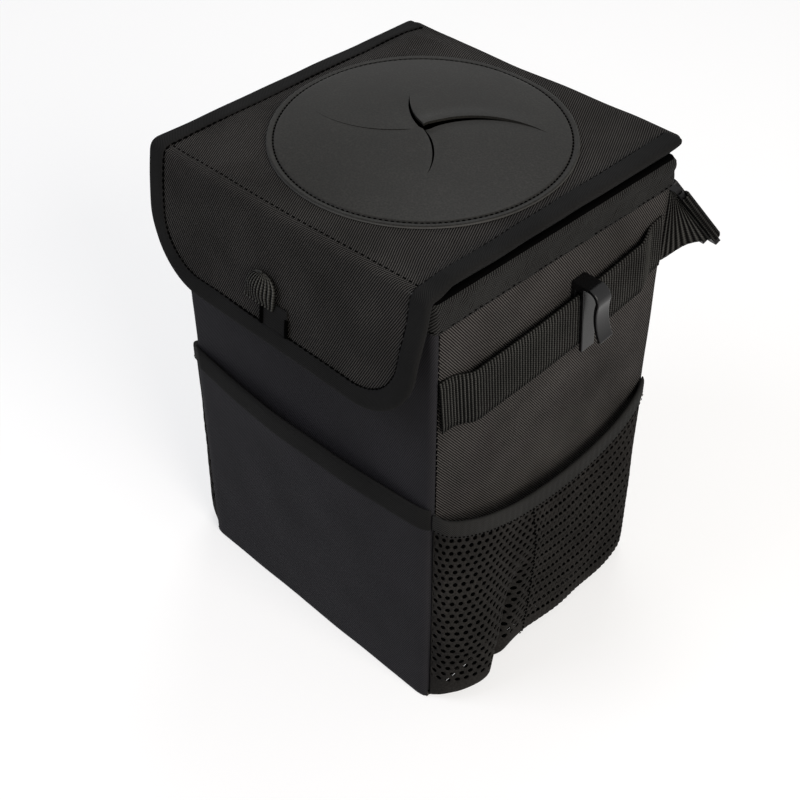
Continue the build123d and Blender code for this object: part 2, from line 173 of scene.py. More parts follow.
def thicken(made, thickness, levels=1):
    """Gives a sheet its thickness on the inside, and rounds its cut edges."""
    solid = made.modifiers.new("thickness", "SOLIDIFY")
    solid.thickness = thickness
    solid.offset = -1
    if levels:
        rounding = made.modifiers.new("rounding", "SUBSURF")
        rounding.levels = rounding.render_levels = levels
    return made


# %% Small helpers
sides = ("right", "left")


def for_side(bm, side):
    """The mesh as it is built for the right side, and mirrored for the left."""
    if side == "left":
        bmesh.ops.scale(bm, vec=(-1, 1, 1), verts=bm.verts)
        bmesh.ops.reverse_faces(bm, faces=bm.faces)
    return bm


def at_height(z):
    """A height as a vector, which raises a place on the outline."""
    return Vector((0, 0, z))


def row_at(rows, share):
    """The row that lies at a share of a list."""
    return rows[round(share * (len(rows) - 1))]


def lengths_gone(line):
    """Length gone at each point of a line."""
    gone = [0.0]
    for a, b in zip(line, line[1:]):
        gone.append(gone[-1] + (b - a).length)
    return gone


def ripple(point, size, amount):
    """Soft unevenness of hand-sewn cloth, of a given size."""
    return noise.noise(Vector(point) / size) * amount


def smooth(t):
    """Eases from 0 to 1."""
    t = min(1, max(0, t))
    return t * t * (3 - 2 * t)


# %% [markdown]
# ## Finishes
# Everything on the bin is black, so the finishes differ in thread, shine and tone. One function makes
# them all: a pattern of real size gives a height, and the height gives both the tone and the bump. Cloth
# uses ridges across the flat cut, leather uses cells, and moulded plastic, film and board use fine noise.
# Where threads are the pattern, the tone goes black low between the ridges, which is painted shade in
# the grooves.
# Oxford threads are about 0.5 mm and would vanish, so the twill is drawn about 1 mm wide, as it reads.
# Black cloth hardly shines, so its specular level is held far below that of plastic.

# %% Finish function
def linear(code):
    """An sRGB hex colour in the linear values of a shader."""
    parts = [int(code[k:k + 2], 16) / 255 for k in (1, 3, 5)]
    return [p / 12.92 if p <= 0.04045 else ((p + 0.055) / 1.055) ** 2.4 for p in parts] + [1.0]


def node(tree, kind, inputs=None, **settings):
    """Adds a shader node. An input is given a value, or a socket to be linked from."""
    made = tree.nodes.new(kind)
    for name, value in settings.items():
        setattr(made, name, value)
    for socket, value in (inputs or {}).items():
        if isinstance(value, bpy.types.NodeSocket):
            tree.links.new(value, made.inputs[socket])
        else:
            made.inputs[socket].default_value = value
    return made


cloud_size = 30 * mm


def finish(name, pattern, size, colours, relief, roughness, specular, turn=0):
    """A procedural finish from a pattern of a real size."""
    material = bpy.data.materials.new(name)
    material.use_nodes = True
    tree = material.node_tree
    shader = tree.nodes["Principled BSDF"]
    place = node(tree, "ShaderNodeTexCoord").outputs["Object"]
    scaled = {"Vector": place, "Scale": 1 / size}
    if pattern == "threads":
        flat = node(tree, "ShaderNodeUVMap", uv_map="weave").outputs["UV"]
        turned = {"Vector": flat, "Rotation": (0, 0, radians(turn))}
        laid = node(tree, "ShaderNodeMapping", turned).outputs[0]
        bands = {"Vector": laid, "Distortion": 0.3, "Detail Scale": 4.0}
        # A wave repeats every pi / (10 * scale). The yarns across lie closer than the ridges.
        ridge, yarn = bands | {"Scale": pi / (10 * size)}, bands | {"Scale": pi / (7 * size)}
        ridges = node(tree, "ShaderNodeTexWave", ridge, bands_direction="X").outputs["Fac"]
        yarns = node(tree, "ShaderNodeTexWave", yarn, bands_direction="Y").outputs["Fac"]
        woven = {0: yarns, 1: 0.35, 2: ridges}
        height = node(tree, "ShaderNodeMath", woven, operation="MULTIPLY_ADD").outputs[0]
    elif pattern == "cells":
        height = node(tree, "ShaderNodeTexVoronoi", scaled).outputs["Distance"]
    else:
        height = node(tree, "ShaderNodeTexNoise", scaled).outputs["Fac"]
    # Handled cloth and plastic are never quite even, so the tone drifts over a few centimetres.
    uneven = node(tree, "ShaderNodeTexNoise", {"Vector": place, "Scale": 1 / cloud_size}).outputs["Fac"]
    drift = {0: uneven, 1: 0.6, 2: 0.2}
    cloud = node(tree, "ShaderNodeMath", drift, operation="MULTIPLY_ADD").outputs[0]
    # For threads the tone is sharpened and goes black low between the ridges: painted shade in the grooves.
    crisp = 1.8 if pattern == "threads" else 1.0
    drawn = node(tree, "ShaderNodeMath", {0: height, 1: crisp}, operation="POWER").outputs[0]
    tone = node(tree, "ShaderNodeMath", {0: drawn, 1: cloud}, operation="MULTIPLY").outputs[0]
    tints = {0: tone, 6: linear(colours[0]), 7: linear(colours[1])}
    tint = node(tree, "ShaderNodeMix", tints, data_type="RGBA").outputs[2]
    bump = node(tree, "ShaderNodeBump", {"Height": height, "Distance": relief}).outputs[0]
    tree.links.new(tint, shader.inputs["Base Color"])
    tree.links.new(bump, shader.inputs["Normal"])
    shader.inputs["Roughness"].default_value = roughness
    shader.inputs["Specular IOR Level"].default_value = specular
    return material


# %% Finishes of cloth, tape and net
# Oxford cloth of dull nylon yarn is woven in twill: slanting ridges without gloss. The front's is finer.
side_oxford = finish("black oxford cloth", "threads", 0.95 * mm, ("#000000", "#696664"),
                     relief=0.4 * mm, roughness=0.8, specular=0.05, turn=37)
front_oxford = finish("black fine oxford cloth", "threads", 0.8 * mm, ("#151517", "#343337"),
                      relief=0.05 * mm, roughness=0.8, specular=0.08, turn=27)
cover_oxford = finish("black twill oxford cloth", "threads", 0.98 * mm, ("#000000", "#545250"),
                      relief=0.4 * mm, roughness=0.8, specular=0.04, turn=27)
# Edge tapes are woven tight, so they look plain. The herringbone of the rim shows as coarse threads.
binding = finish("black woven edge tape", "threads", 0.6 * mm, ("#0d0d0d", "#2a2a2a"),
                 relief=0.03 * mm, roughness=0.75, specular=0.03, turn=45)
elastic = finish("black folded elastic tape", "threads", 0.8 * mm, ("#0c0c0c", "#3c3c3b"),
                 relief=0.04 * mm, roughness=0.75, specular=0.05, turn=45)
herringbone = finish("black herringbone tape", "threads", 1.0 * mm, ("#040404", "#3e3e3d"),
                     relief=0.25 * mm, roughness=0.75, specular=0.06, turn=40)
# Webbing and grosgrain are ribbed across, and painted black between the ribs as the shade there.
ribbed = finish("black ribbed webbing", "threads", 1.7 * mm, ("#000000", "#525250"),
                relief=0.5 * mm, roughness=0.8, specular=0.02)
ribbon = finish("black grosgrain ribbon", "threads", 1.9 * mm, ("#000000", "#5c5c59"),
                relief=0.4 * mm, roughness=0.8, specular=0.02)
# Knitted yarn is fuzzy, so its strands are dull and even.
knit = finish("black knitted net yarn", "noise", 0.9 * mm, ("#040404", "#464442"),
              relief=0.08 * mm, roughness=0.8, specular=0.03)
print("cloth, tape and net finished")

# %% Finishes of leather, plastic, film and thread
# Synthetic leather is coated and embossed, which gives a satin shine. Its cut edge is dull and paler,
# and that paler finish also paints the highlight along the sheet's rim.
leather = finish("black synthetic leather, grained", "cells", 0.9 * mm, ("#181817", "#33322f"),
                 relief=0.015 * mm, roughness=0.4, specular=0.08)
leather_edge_highlight = finish("synthetic leather, cut edge with painted highlight", "noise", 0.5 * mm, ("#343433", "#5e5e5c"),
                      relief=0.01 * mm, roughness=0.6, specular=0.05)
# Moulded plastic: the clip was polished in its mould, the buckle has a satin surface.
moulding = finish("black plastic, glossy moulding", "noise", 0.5 * mm, ("#080809", "#141415"),
                  relief=0.01 * mm, roughness=0.25, specular=0.3)
satin = finish("black plastic, satin moulding", "noise", 0.4 * mm, ("#0a0a0b", "#18181a"),
               relief=0.02 * mm, roughness=0.45, specular=0.15)
# Film is smooth and matt. Board is a plain grey sheet that only shows where cloth ends.
liner_film = finish("black waterproof film, matt", "noise", 2.5 * mm, ("#131313", "#2a2a2a"),
                    relief=0.05 * mm, roughness=0.45, specular=0.2)
stiff_board = finish("grey polyethylene board", "noise", 1.5 * mm, ("#4c4c4c", "#686868"),
                     relief=0.03 * mm, roughness=0.5, specular=0.4)
# Fastener pile is a thick fuzz. Thread is dull and blacker than any cloth.
pile = finish("black nylon fastener pile", "noise", 0.7 * mm, ("#0d0d0e", "#38383a"),
              relief=0.3 * mm, roughness=0.85, specular=0.1)
thread = finish("black sewing thread", "noise", 0.4 * mm, ("#000000", "#060606"),
                relief=0.05 * mm, roughness=0.8, specular=0.01)
# Cloth under the lid's edge and behind the net gets almost no light, which is drawn as a black finish.
shaded = finish("black cloth, deep in shade", "noise", 0.5 * mm, ("#000000", "#080808"),
                relief=0.05 * mm, roughness=0.8, specular=0.01)
print(len(bpy.data.materials), "finishes in the file")

# %% [markdown]
# ## Boards that stay as they are
# The stiffener boards are flat cut sheets inside the cloth, so the CAD solids stay and only get a finish.

# %% Stiffener boards
for name in ("front_board", "rear_board", "left_board", "right_board", "base_board", "lid_board"):
    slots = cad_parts[name].data.materials
    slots.clear()
    slots.append(stiff_board)
print("boards finished")

# %% [markdown]
# ## Stitches
# A stitch is a short rounded dash of thread, sunk halfway into the cloth. A row of them follows a path,
# which gives a point and the way out of the cloth at each share of its length.

# %% Stitch rows
def stitch_row(bm, path, length, pitch=3.2 * mm, width=0.7 * mm, dash=0.64):
    """Adds a row of dashes along a path. A dash takes up a share of the pitch."""
    count = max(2, round(length / pitch))
    for k in range(count):
        start, out = path((k + 0.5 - dash / 2) / count)
        end, _ = path((k + 0.5 + dash / 2) / count)
        along = (end - start) / 2
        across = along.cross(out).normalized() * width / 2
        shape = Matrix((along, across, out.normalized() * width * 0.3)).transposed().to_4x4()
        bmesh.ops.create_icosphere(
            bm, subdivisions=1, radius=1, matrix=Matrix.Translation((start + end) / 2) @ shape)


# %% [markdown]
# ## Walls
# The front cloth turns both front corners and is seamed to the side cloths just behind them. There the
# side cloth rolls in to the seam, where a row of black stitches gives the crisp front edge its dark line.
# The rear cloth turns both rear corners. All of them curl under at the foot. The weave shows on the
# sides, and the front's is finer.

# %% Wall cloths
seam_roll, seam_dip, rear_dip = 8 * mm, 1.7 * mm, 0.2 * mm
foot_roll, foot_dip, rim_roll, rim_tuck = 4 * mm, 1.6 * mm, 6 * mm, 1 * mm
wall_wave, wall_wave_depth, most_out = 40 * mm, 0.5 * mm, 0.3 * mm


def wall_cloth(name, start, end, start_dip, end_dip, flip, cloth_finish):
    """One wall's cloth from seam to seam, rolled in at its seams, its foot and the rim."""
    length, height = end - start, wall_top - wall_foot

    def place(u, v):
        z = wall_foot + v * height
        edges = (
            (u * length, start_dip, seam_roll), ((1 - u) * length, end_dip, seam_roll),
            (z - wall_foot, foot_dip, foot_roll), (wall_top - z, rim_tuck, rim_roll),
        )
        out = 0.0
        for gap, dip, roll in edges:
            out -= dip * max(0, 1 - gap / roll) ** 2
        out += ripple(outline(start + u * length, 0) + at_height(z), wall_wave, wall_wave_depth)
        return outline(start + u * length, min(out, most_out)) + at_height(z)

    bm = cloth_grid(120, 70, place, (length * flip, height))
    made = piece(name + "_cloth", bm, cloth_finish, "bin", (name + "_panel",))
    thicken(made, cloth, 0)
    return made


wall_cloth("front", left_front_seam, perimeter + front_seam, 0, 0, 1, front_oxford)
wall_cloth("right", front_seam, rear_seam, seam_dip, rear_dip, -1, side_oxford)
wall_cloth("rear", rear_seam, left_rear_seam, rear_dip, rear_dip, 1, side_oxford)
wall_cloth("left", left_rear_seam, left_front_seam, rear_dip, seam_dip, 1, side_oxford)

# %% Corner seams
corner_thread = bmesh.new()
seam_foot, seam_rise = wall_foot + 3 * mm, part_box("rim_tape")[0].z - wall_foot - 4 * mm
seam_behind, seam_sink = 1 * mm, 0.7 * mm
for seam in (front_seam + seam_behind, left_front_seam - seam_behind):
    spot, out = outline(seam, -seam_sink), outline(seam, 1) - outline(seam, 0)
    stitch_row(corner_thread, lambda t: (spot + at_height(seam_foot + t * seam_rise), out),
               seam_rise, width=1.3 * mm, dash=0.92)
piece("corner_stitches", corner_thread, thread, "bin")

# %% Base cloth
base_low, base_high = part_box("base_panel")
base_turn, base_curl = 4 * mm, 0.8 * mm


def base_place(u, v):
    """The base cloth, seen from below, turned up a little at its edge."""
    x = base_low.x + v * (base_high.x - base_low.x)
    y = base_low.y + u * (base_high.y - base_low.y)
    edge = min(x - base_low.x, base_high.x - x, y - base_low.y, base_high.y - y)
    return Vector((x, y, base_low.z + base_curl * max(0, 1 - edge / base_turn) ** 2))


base_size = (base_high.y - base_low.y, base_high.x - base_low.x)
base_bm = cloth_grid(60, 60, base_place, base_size)
base_cloth = piece("base_cloth", base_bm, side_oxford, "bin", ("base_panel",))
thicken(base_cloth, cloth, 0)

# %% [markdown]
# ## Rim band and liner
# The rim is bound with a wide tape folded over the top of the wall. Its section is a short list of
# places, swept round the outline. On the sides its outer leg is a little wrinkled. Its top is pulled in
# and lies in the lid's shade, so those faces get the black finish and leave a dark gap under the lid's
# edge. The liner is one dropped-in bag of film, so its grid runs down the walls and in to the middle of
# the floor.

# %% Rim band
rim_low, rim_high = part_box("rim_tape")
rim_section = [
    (0.3 * mm, rim_low.z), (tape, rim_low.z + 0.6 * mm), (tape, rim_high.z - 4 * mm),
    (tape - rim_tuck, rim_high.z - 0.8 * mm), (-rim_tuck, rim_high.z), (-wall - 0.1 * mm, rim_high.z),
    (-wall - tape, rim_high.z - 0.7 * mm), (-wall - tape, rim_low.z),
]
wrinkle_fade, rim_shade = 3 * mm, 1.2 * mm


def swept_section(section, columns, rows):
    """A section of (out, height) places, swept right round the body and wrinkled where it shows."""
    stops = [Vector(stop) for stop in section]
    gone = lengths_gone(stops)

    def place(u, v):
        k = max(1, min(bisect_left(gone, v * gone[-1]), len(gone) - 1))
        out, z = stops[k - 1].lerp(stops[k], (v * gone[-1] - gone[k - 1]) / (gone[k] - gone[k - 1]))
        spot = outline(u * perimeter, 0) + at_height(z)
        if out > 0 and abs(spot.y) < half_depth - 1 * mm:
            wrinkle = abs(ripple(spot, 9 * mm, 1.5 * mm)) + max(0, ripple(spot, 4 * mm, 0.9 * mm))
            out += wrinkle * min(1, (z - section[0][1]) / wrinkle_fade)
        return outline(u * perimeter, out) + at_height(z)

    bm = cloth_grid(columns, rows, place, (perimeter, gone[-1]))
    bmesh.ops.remove_doubles(bm, verts=bm.verts, dist=0.01 * mm)
    return bm


rim_bm = swept_section(rim_section, 600, 36)
rim_band = piece("rim_band", rim_bm, herringbone, "bin", ("rim_tape",))
thicken(rim_band, 0.6 * tape, 0)
rim_band.data.materials.append(shaded)
for face in rim_band.data.polygons:
    face.material_index = 1 if face.center.z > rim_high.z - rim_shade else 0

# %% Rim stitches
rim_stitch_out, rim_stitch_z = tape + 0.35 * mm, rim_low.z + 1.8 * mm


def rim_seam(t):
    """Place on the row of stitches near the tape's lower edge."""
    along = t * perimeter
    out = outline(along, 1) - outline(along, 0)
    return outline(along, rim_stitch_out) + at_height(rim_stitch_z), out


rim_thread = bmesh.new()
stitch_row(rim_thread, rim_seam, perimeter)
piece("rim_stitches", rim_thread, thread, "bin")

# %% Liner bag
floor_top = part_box("base_board")[1].z
bag_levels = [wall_top - 2 * mm, 200 * mm, 160 * mm, 120 * mm, 80 * mm, 40 * mm, 12 * mm, 6 * mm]
bag_rows = [(level, 1.0) for level in bag_levels]
bag_floor = floor_top + film
bag_rows += [(floor_top + 1.2 * mm, 0.99), (bag_floor, 0.95), (bag_floor, 0.6), (bag_floor, 0.01)]


def bag_place(u, v):
    """Down the inside of the walls and in to the middle of the floor."""
    z, share = row_at(bag_rows, v)
    return outline(u * perimeter, -wall) * share + at_height(z)


bag_flat = (perimeter, wall_top + half_depth)
liner_bm = cloth_grid(240, len(bag_rows) - 1, bag_place, bag_flat)
bmesh.ops.remove_doubles(liner_bm, verts=liner_bm.verts, dist=0.01 * mm)
liner_bag = piece("liner_bag", liner_bm, liner_film, "bin", ("liner",))
thicken(liner_bag, 0.7 * film, 0)

# %% [markdown]
# ## Lid and flap, one cut of cloth
# The lid's cloth runs over the front edge and on down as the flap, so it is one cut that bends across the
# fold. Its flat pattern has x across and s along, from the rear edge over the lid, round the fold and
# down the flap. cover_point puts a place on the pattern, at a height above the cloth, where it lies in
# the bin. The lid is soft: it puffs up round the mouth, and its right edge curls up.

# %% The cover's flat pattern
splay, fold_r, flap_stand, flap_bow = radians(7), 3.5 * mm, 3 * mm, 0.8 * mm
flap_out, flap_down = Vector((0, -cos(splay), sin(splay))), Vector((0, -sin(splay), -cos(splay)))
fold_y = lid_front + (fold_r - flap_stand - fold_r * sin(splay)) / cos(splay)
fold_middle = Vector((0, fold_y, lid_top - fold_r))
hinge = Vector((0, lid_front, lid_top))
flap_reach = 62.2 * mm
lid_run = lid_rear - fold_y
fold_end = lid_run + fold_r * (pi / 2 - splay)
cover_end = fold_end + flap_reach - (fold_middle + flap_out * fold_r - hinge).dot(flap_down)
lid_corner_r, flap_corner_r = 4.5 * mm, 32 * mm
mouth_r, hole_r = 67.4 * mm, 60 * mm
print("pattern", round(2 * lid_half / mm, 1), "by", round(cover_end / mm, 1), "mm")

# %% How the cover lies
lid_puff, puff_slope, puff_span = 1.5 * mm, 0.019, 20 * mm
curl_rise, curl_start, curl_span = 3 * mm, -40 * mm, 110 * mm
edge_span, front_span = 16 * mm, 14 * mm
bow_span, tuck_depth, tuck_start, tuck_span = 46 * mm, 3 * mm, -20 * mm, 100 * mm
tuck_above, tuck_below, soft_span = 20 * mm, 24 * mm, 12 * mm
cover_wave, cover_wave_depth = 26 * mm, 0.5 * mm


def lid_lift(x, y):
    """Height of the soft lid above its flat place: puffed round the mouth, curled up at its right."""
    inside = smooth(min(lid_half - x, lid_rear - y) / edge_span)
    puff = (lid_puff + puff_slope * (y - x)) * smooth((x + lid_half) / puff_span)
    curl = curl_rise * smooth((x - curl_start) / curl_span)
    return (inside * puff + (1 - inside) * curl) * smooth((y - lid_front) / front_span)


def cover_point(x, s, height, loft=1.0):
    """Place of a point of the pattern, and the way out of the cloth. A share of the lid's lift counts."""
    if s <= lid_run:
        base, out = Vector((x, lid_rear - s, lid_top)), Vector((0, 0, 1))
        height += loft * lid_lift(x, lid_rear - s)
    elif s <= fold_end:
        turn = (s - lid_run) / fold_r
        out = Vector((0, -sin(turn), cos(turn)))
        base = fold_middle + out * fold_r + Vector((x, 0, 0))
    else:
        out = flap_out
        base = fold_middle + flap_out * fold_r + flap_down * (s - fold_end) + Vector((x, 0, 0))
    height += flap_bow * sin(pi * min(1, max(0, s - lid_run) / bow_span))
    tucked = smooth((s - lid_run) / tuck_above + 1) * (1 - smooth((s - fold_end) / tuck_below - 0.3))
    base.y += tuck_depth * tucked * smooth((x - tuck_start) / tuck_span)
    off_mouth = Vector((x, lid_rear - s)).length - mouth_r
    soft = 1.0 if s > lid_run else min(1, max(0, off_mouth / soft_span))
    return base + out * (height + soft * ripple((x, s, 0), cover_wave, cover_wave_depth)), out


def cover_half(s):
    """Half the width of the pattern at s, with its rounded corners."""
    for gap, radius in ((s, lid_corner_r), (cover_end - s, flap_corner_r)):
        if gap < radius:
            return lid_half - radius + sqrt(max(0, radius ** 2 - (radius - max(gap, 0)) ** 2))
    return lid_half


# %% How the lining lies
thin_edge, board_end = 3.2 * mm, 14 * mm


def inner_height(s, gap):
    """Height of the lining's face, a gap in from the side. Only the lid has a board, thin at its edge."""
    share = smooth((s - lid_run) / (fold_end - lid_run + board_end))
    return (share * (wall - cloth - film) - wall) * (0.3 + 0.7 * min(1, max(0, gap) / thin_edge))


def inner_loft(gap):
    """Share of the lid's lift that the lining takes up: none under the board, all of it at the edge."""
    return 1 - min(1, max(0, gap) / thin_edge)


# %% Cover cloth and lining
lid_steps, fold_steps, flap_steps = 60, 10, 40
cover_rows = [lid_run * (1 - cos(pi / 2 * k / lid_steps)) for k in range(lid_steps)]
cover_rows += [lid_run + (fold_end - lid_run) * k / fold_steps for k in range(fold_steps)]
flap_run = cover_end - fold_end
cover_rows += [fold_end + flap_run * sin(pi / 2 * k / flap_steps) for k in range(flap_steps + 1)]
mouth_floor, mouth_catch = lid_top - 6 * mm, hole_r + 4 * mm


def cover_flat_place(u, v):
    """Flat place in the weave, which runs the other way on the lid than on the flap."""
    s = row_at(cover_rows, v)
    return (2 * u - 1) * cover_half(s), abs(s - lid_run)


def cover_sheet(height_at, loft_at, reverse):
    """The pattern as a grid, with the mouth cut out and its edge drawn onto a circle."""
    def place(u, v):
        s = row_at(cover_rows, v)
        x = (1 - 2 * u) * cover_half(s)
        gap = cover_half(s) - abs(x)
        return cover_point(x, s, height_at(s, gap), loft_at(gap))[0]

    bm = cloth_grid(100, len(cover_rows) - 1, place, (2 * lid_half, cover_end), cover_flat_place)
    doomed = []
    for face in bm.faces:
        middle = face.calc_center_median()
        if middle.z > mouth_floor and middle.xy.length < hole_r:
            doomed.append(face)
    bmesh.ops.delete(bm, geom=doomed, context="FACES")
    for vert in bm.verts:
        if vert.is_boundary and vert.co.z > mouth_floor and vert.co.xy.length < mouth_catch:
            vert.co.xy = vert.co.xy.normalized() * hole_r
    if reverse:
        bmesh.ops.reverse_faces(bm, faces=bm.faces)
    return bm


outer_bm = cover_sheet(lambda s, gap: 0.0, lambda gap: 1.0, False)
cover = piece("cover_cloth", outer_bm, cover_oxford, None, ("lid_panel", "flap_panel"))
inner_bm = cover_sheet(inner_height, inner_loft, True)
lining = piece("cover_lining", inner_bm, liner_film, None, ("lid_lining", "flap_lining"))
for made, thickness in ((cover, cloth), (lining, 0.6 * film)):
    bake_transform(made)
    thicken(made, thickness, 0)

# %% [markdown]
# ## Edge binding
# A tape is folded over both faces along the left edge, round the flap and back up the right edge. Its
# flat path runs along the pattern's edge, and its section goes from the outer face, round the edge, to
# the lining.

# %% Cover binding
tape_width = 8 * mm
edge_start = lid_corner_r * 0.6
edge_side = cover_end - flap_corner_r - edge_start
edge_arc = flap_corner_r * pi / 2
edge_bottom = 2 * (lid_half - flap_corner_r)
edge_length = 2 * (edge_side + edge_arc) + edge_bottom


def edge_flat(along, inward):
    """Place on the pattern, some way in from its edge, a distance along it from the left rear corner."""
    sign = -1
    if along > edge_length / 2:
        along, sign = edge_length - along, 1
    if along < edge_side:
        s = edge_start + along
        return sign * (cover_half(s) - inward), s
    along -= edge_side
    if along < edge_arc:
        turn = along / flap_corner_r
        reach = flap_corner_r - inward
        across = lid_half - flap_corner_r + reach * cos(turn)
        return sign * across, cover_end - flap_corner_r + reach * sin(turn)
    return sign * (lid_half - flap_corner_r - (along - edge_arc)), cover_end - inward


binding_section = [
    (tape_width, 0.1), (tape_width - 0.5 * mm, 1), (6 * mm, 1), (4 * mm, 1), (2 * mm, 1), (0.3 * mm, 0.9),
    (-0.5 * mm, 0.5), (-tape, 0), (-tape, -0.5), (-tape, -1),
    (-0.4 * mm, -1.7), (0.6 * mm, -2), (4.5 * mm, -2), (tape_width, -2),
]


def binding_point(along, inward, level):
    """Level 1 is on the outer face, 0 to -1 the edge from outside to inside, and -2 on the lining."""
    x, s = edge_flat(along, inward)
    inside = inner_height(s, inward)
    height = level * tape if level >= 0 else max(level, -1) * -inside + min(0, level + 1) * tape
    return cover_point(x, s, height, 1.0 if level >= 0 else inner_loft(inward))


def binding_place(u, v):
    """The folded tape, its outer edge sewn a little unevenly."""
    inward, level = row_at(binding_section, 1 - v)
    along = u * edge_length
    inward += ripple((along, inward, 0), 17 * mm, 0.5 * mm) if inward > 2 * mm else 0
    return binding_point(along, inward, level)[0]


binding_bm = cloth_grid(420, len(binding_section) - 1, binding_place, (edge_length, 2.4 * tape_width))
bmesh.ops.reverse_faces(binding_bm, faces=binding_bm.faces)
cover_binding = piece("cover_binding", binding_bm, binding, None,
                      ("lid_tape_left", "lid_tape_right", "flap_tape"))
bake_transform(cover_binding)
thicken(cover_binding, 0.6 * tape)

# %% Cover stitches
cover_thread = bmesh.new()
# This row is the tape's seam, drawn wide and almost unbroken so that its black also paints the shade line
# along the tape's inner edge.
stitch_row(cover_thread, lambda t: binding_point(t * edge_length, tape_width, 0.4), edge_length,
           width=1.7 * mm, dash=0.95)
crease_row, crease_seam = 1.8 * lid_half, lid_run - 0.8 * mm
stitch_row(cover_thread, lambda t: cover_point((0.5 - t) * crease_row, crease_seam, 0), crease_row,
           width=1.0 * mm)
cover_stitches = piece("cover_stitches", cover_thread, thread)
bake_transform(cover_stitches)

# %% [markdown]
# ## Cloth hinge at the rear
# The lid is sewn to the rear panel along its rear edge. A strip of the same cloth goes from that edge
# down the panel.

# %% Hinge strip
hinge_half, strip_run = half_width - 8 * mm, 24 * mm
hinge_stops = [
    (lid_rear - 0.2 * mm, lid_top - 0.6 * mm), (lid_rear + 0.5 * mm, lid_top - 1.0 * mm),
    (lid_rear + 0.8 * mm, lid_top - 2.4 * mm), (lid_rear + 0.8 * mm, lid_top - 4.2 * mm),
    (lid_rear + 0.4 * mm, lid_top - 6.5 * mm), (half_depth + 1.5 * mm, lid_top - 10 * mm),
    (half_depth + 1.3 * mm, lid_top - 16 * mm), (half_depth + 1.2 * mm, lid_top - strip_run),
]


def hinge_place(u, v):
    """Down from the lid's rear edge, which it follows where the lid is lifted."""
    y, z = row_at(hinge_stops, v)
    x = hinge_half * (2 * u - 1)
    return Vector((x, y, z + lid_lift(x, lid_rear) * max(0, 1 - 1.6 * v)))


hinge_bm = cloth_grid(60, len(hinge_stops) - 1, hinge_place, (2 * hinge_half, strip_run))
bmesh.ops.reverse_faces(hinge_bm, faces=hinge_bm.faces)
hinge_strip = piece("hinge_strip", hinge_bm, side_oxford)
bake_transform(hinge_strip)
thicken(hinge_strip, 0.4 * mm)

# %% [markdown]
# ## The slit mouth
# One domed sheet of synthetic leather is sewn to the lid by its border and slit from the centre along
# four curves, so that four petals bend down when waste is pushed in. Each petal bends on its own joint,
# so the sheet is made as four sectors that meet without a seam beyond the slits' ends. A sector is a
# polar grid whose two edges follow the slits: a circle through the centre, that makes the slit bend to
# the right. Some of the slits stand open only near the centre, and along each slit one edge lies a little
# higher than the other. The sheet's outer rim is a cut edge, so those faces get a paler finish, which
# also paints the highlight along the rim.

# %% Mouth form
sheet_t, dome_rise, border_w, stitch_r = 1.2 * mm, 3.3 * mm, 3 * mm, 64.4 * mm
dome_span = mouth_r - border_w
ball_r = (dome_span ** 2 + dome_rise ** 2) / (2 * dome_rise)
slit_bend_r, slit_turn = 44 * mm, radians(75)
slit_end = 2 * slit_bend_r * sin(slit_turn / 2)
bearings = (82, 165, 240, 340, 442)
slit_gaps = (1.2 * mm, 0.9 * mm, 0.2 * mm, 0.7 * mm, 1.2 * mm)
slit_shown = (slit_end, 28 * mm, 51 * mm, 34 * mm, slit_end)
slit_lifts = (0.7 * mm, -0.5 * mm, -0.1 * mm, -0.5 * mm, 0.7 * mm)
petals = ("petal_rear", "petal_left", "petal_front", "petal_right")
petal_steps, ring_steps, border_steps = 34, 5, 14
tip_r, border_r, border_pitch = 1.2 * mm, 62.4 * mm, 0.33 * mm
mouth_rows = [tip_r + (slit_end - tip_r) * k / petal_steps for k in range(petal_steps + 1)]
mouth_rows += [slit_end + (border_r - slit_end) * k / ring_steps for k in range(1, ring_steps + 1)]
mouth_rows += [border_r + border_pitch * k for k in range(1, border_steps + 1)] + [67.2 * mm, mouth_r]
groove_depth, bead_rise, bead_r, groove_half = 0.5 * mm, 0.2 * mm, 66.5 * mm, 0.5 * mm
edge_round, edge_drop, curl_width, highlight_edge_band = 0.7 * mm, 0.7 * sheet_t, 7 * mm, 0.15 * mm


def slit_angle(k, radius):
    """Bearing of a slit at a distance from the centre."""
    return radians(bearings[k]) - asin(min(radius, slit_end) / (2 * slit_bend_r))


def mouth_height(radius):
    """Face of the sheet: dome, stitched groove and flat border."""
    dome = sqrt(ball_r ** 2 - min(radius, dome_span) ** 2) - (ball_r - dome_rise)
    groove = groove_depth * exp(-((radius - stitch_r) / groove_half) ** 2)
    bead = bead_rise * exp(-((radius - bead_r) / groove_half) ** 2)
    edge = max(0, (radius - mouth_r + edge_round) / edge_round)
    return lid_top + sheet_t + dome - groove + bead - edge_drop * (1 - sqrt(max(0, 1 - edge ** 2)))


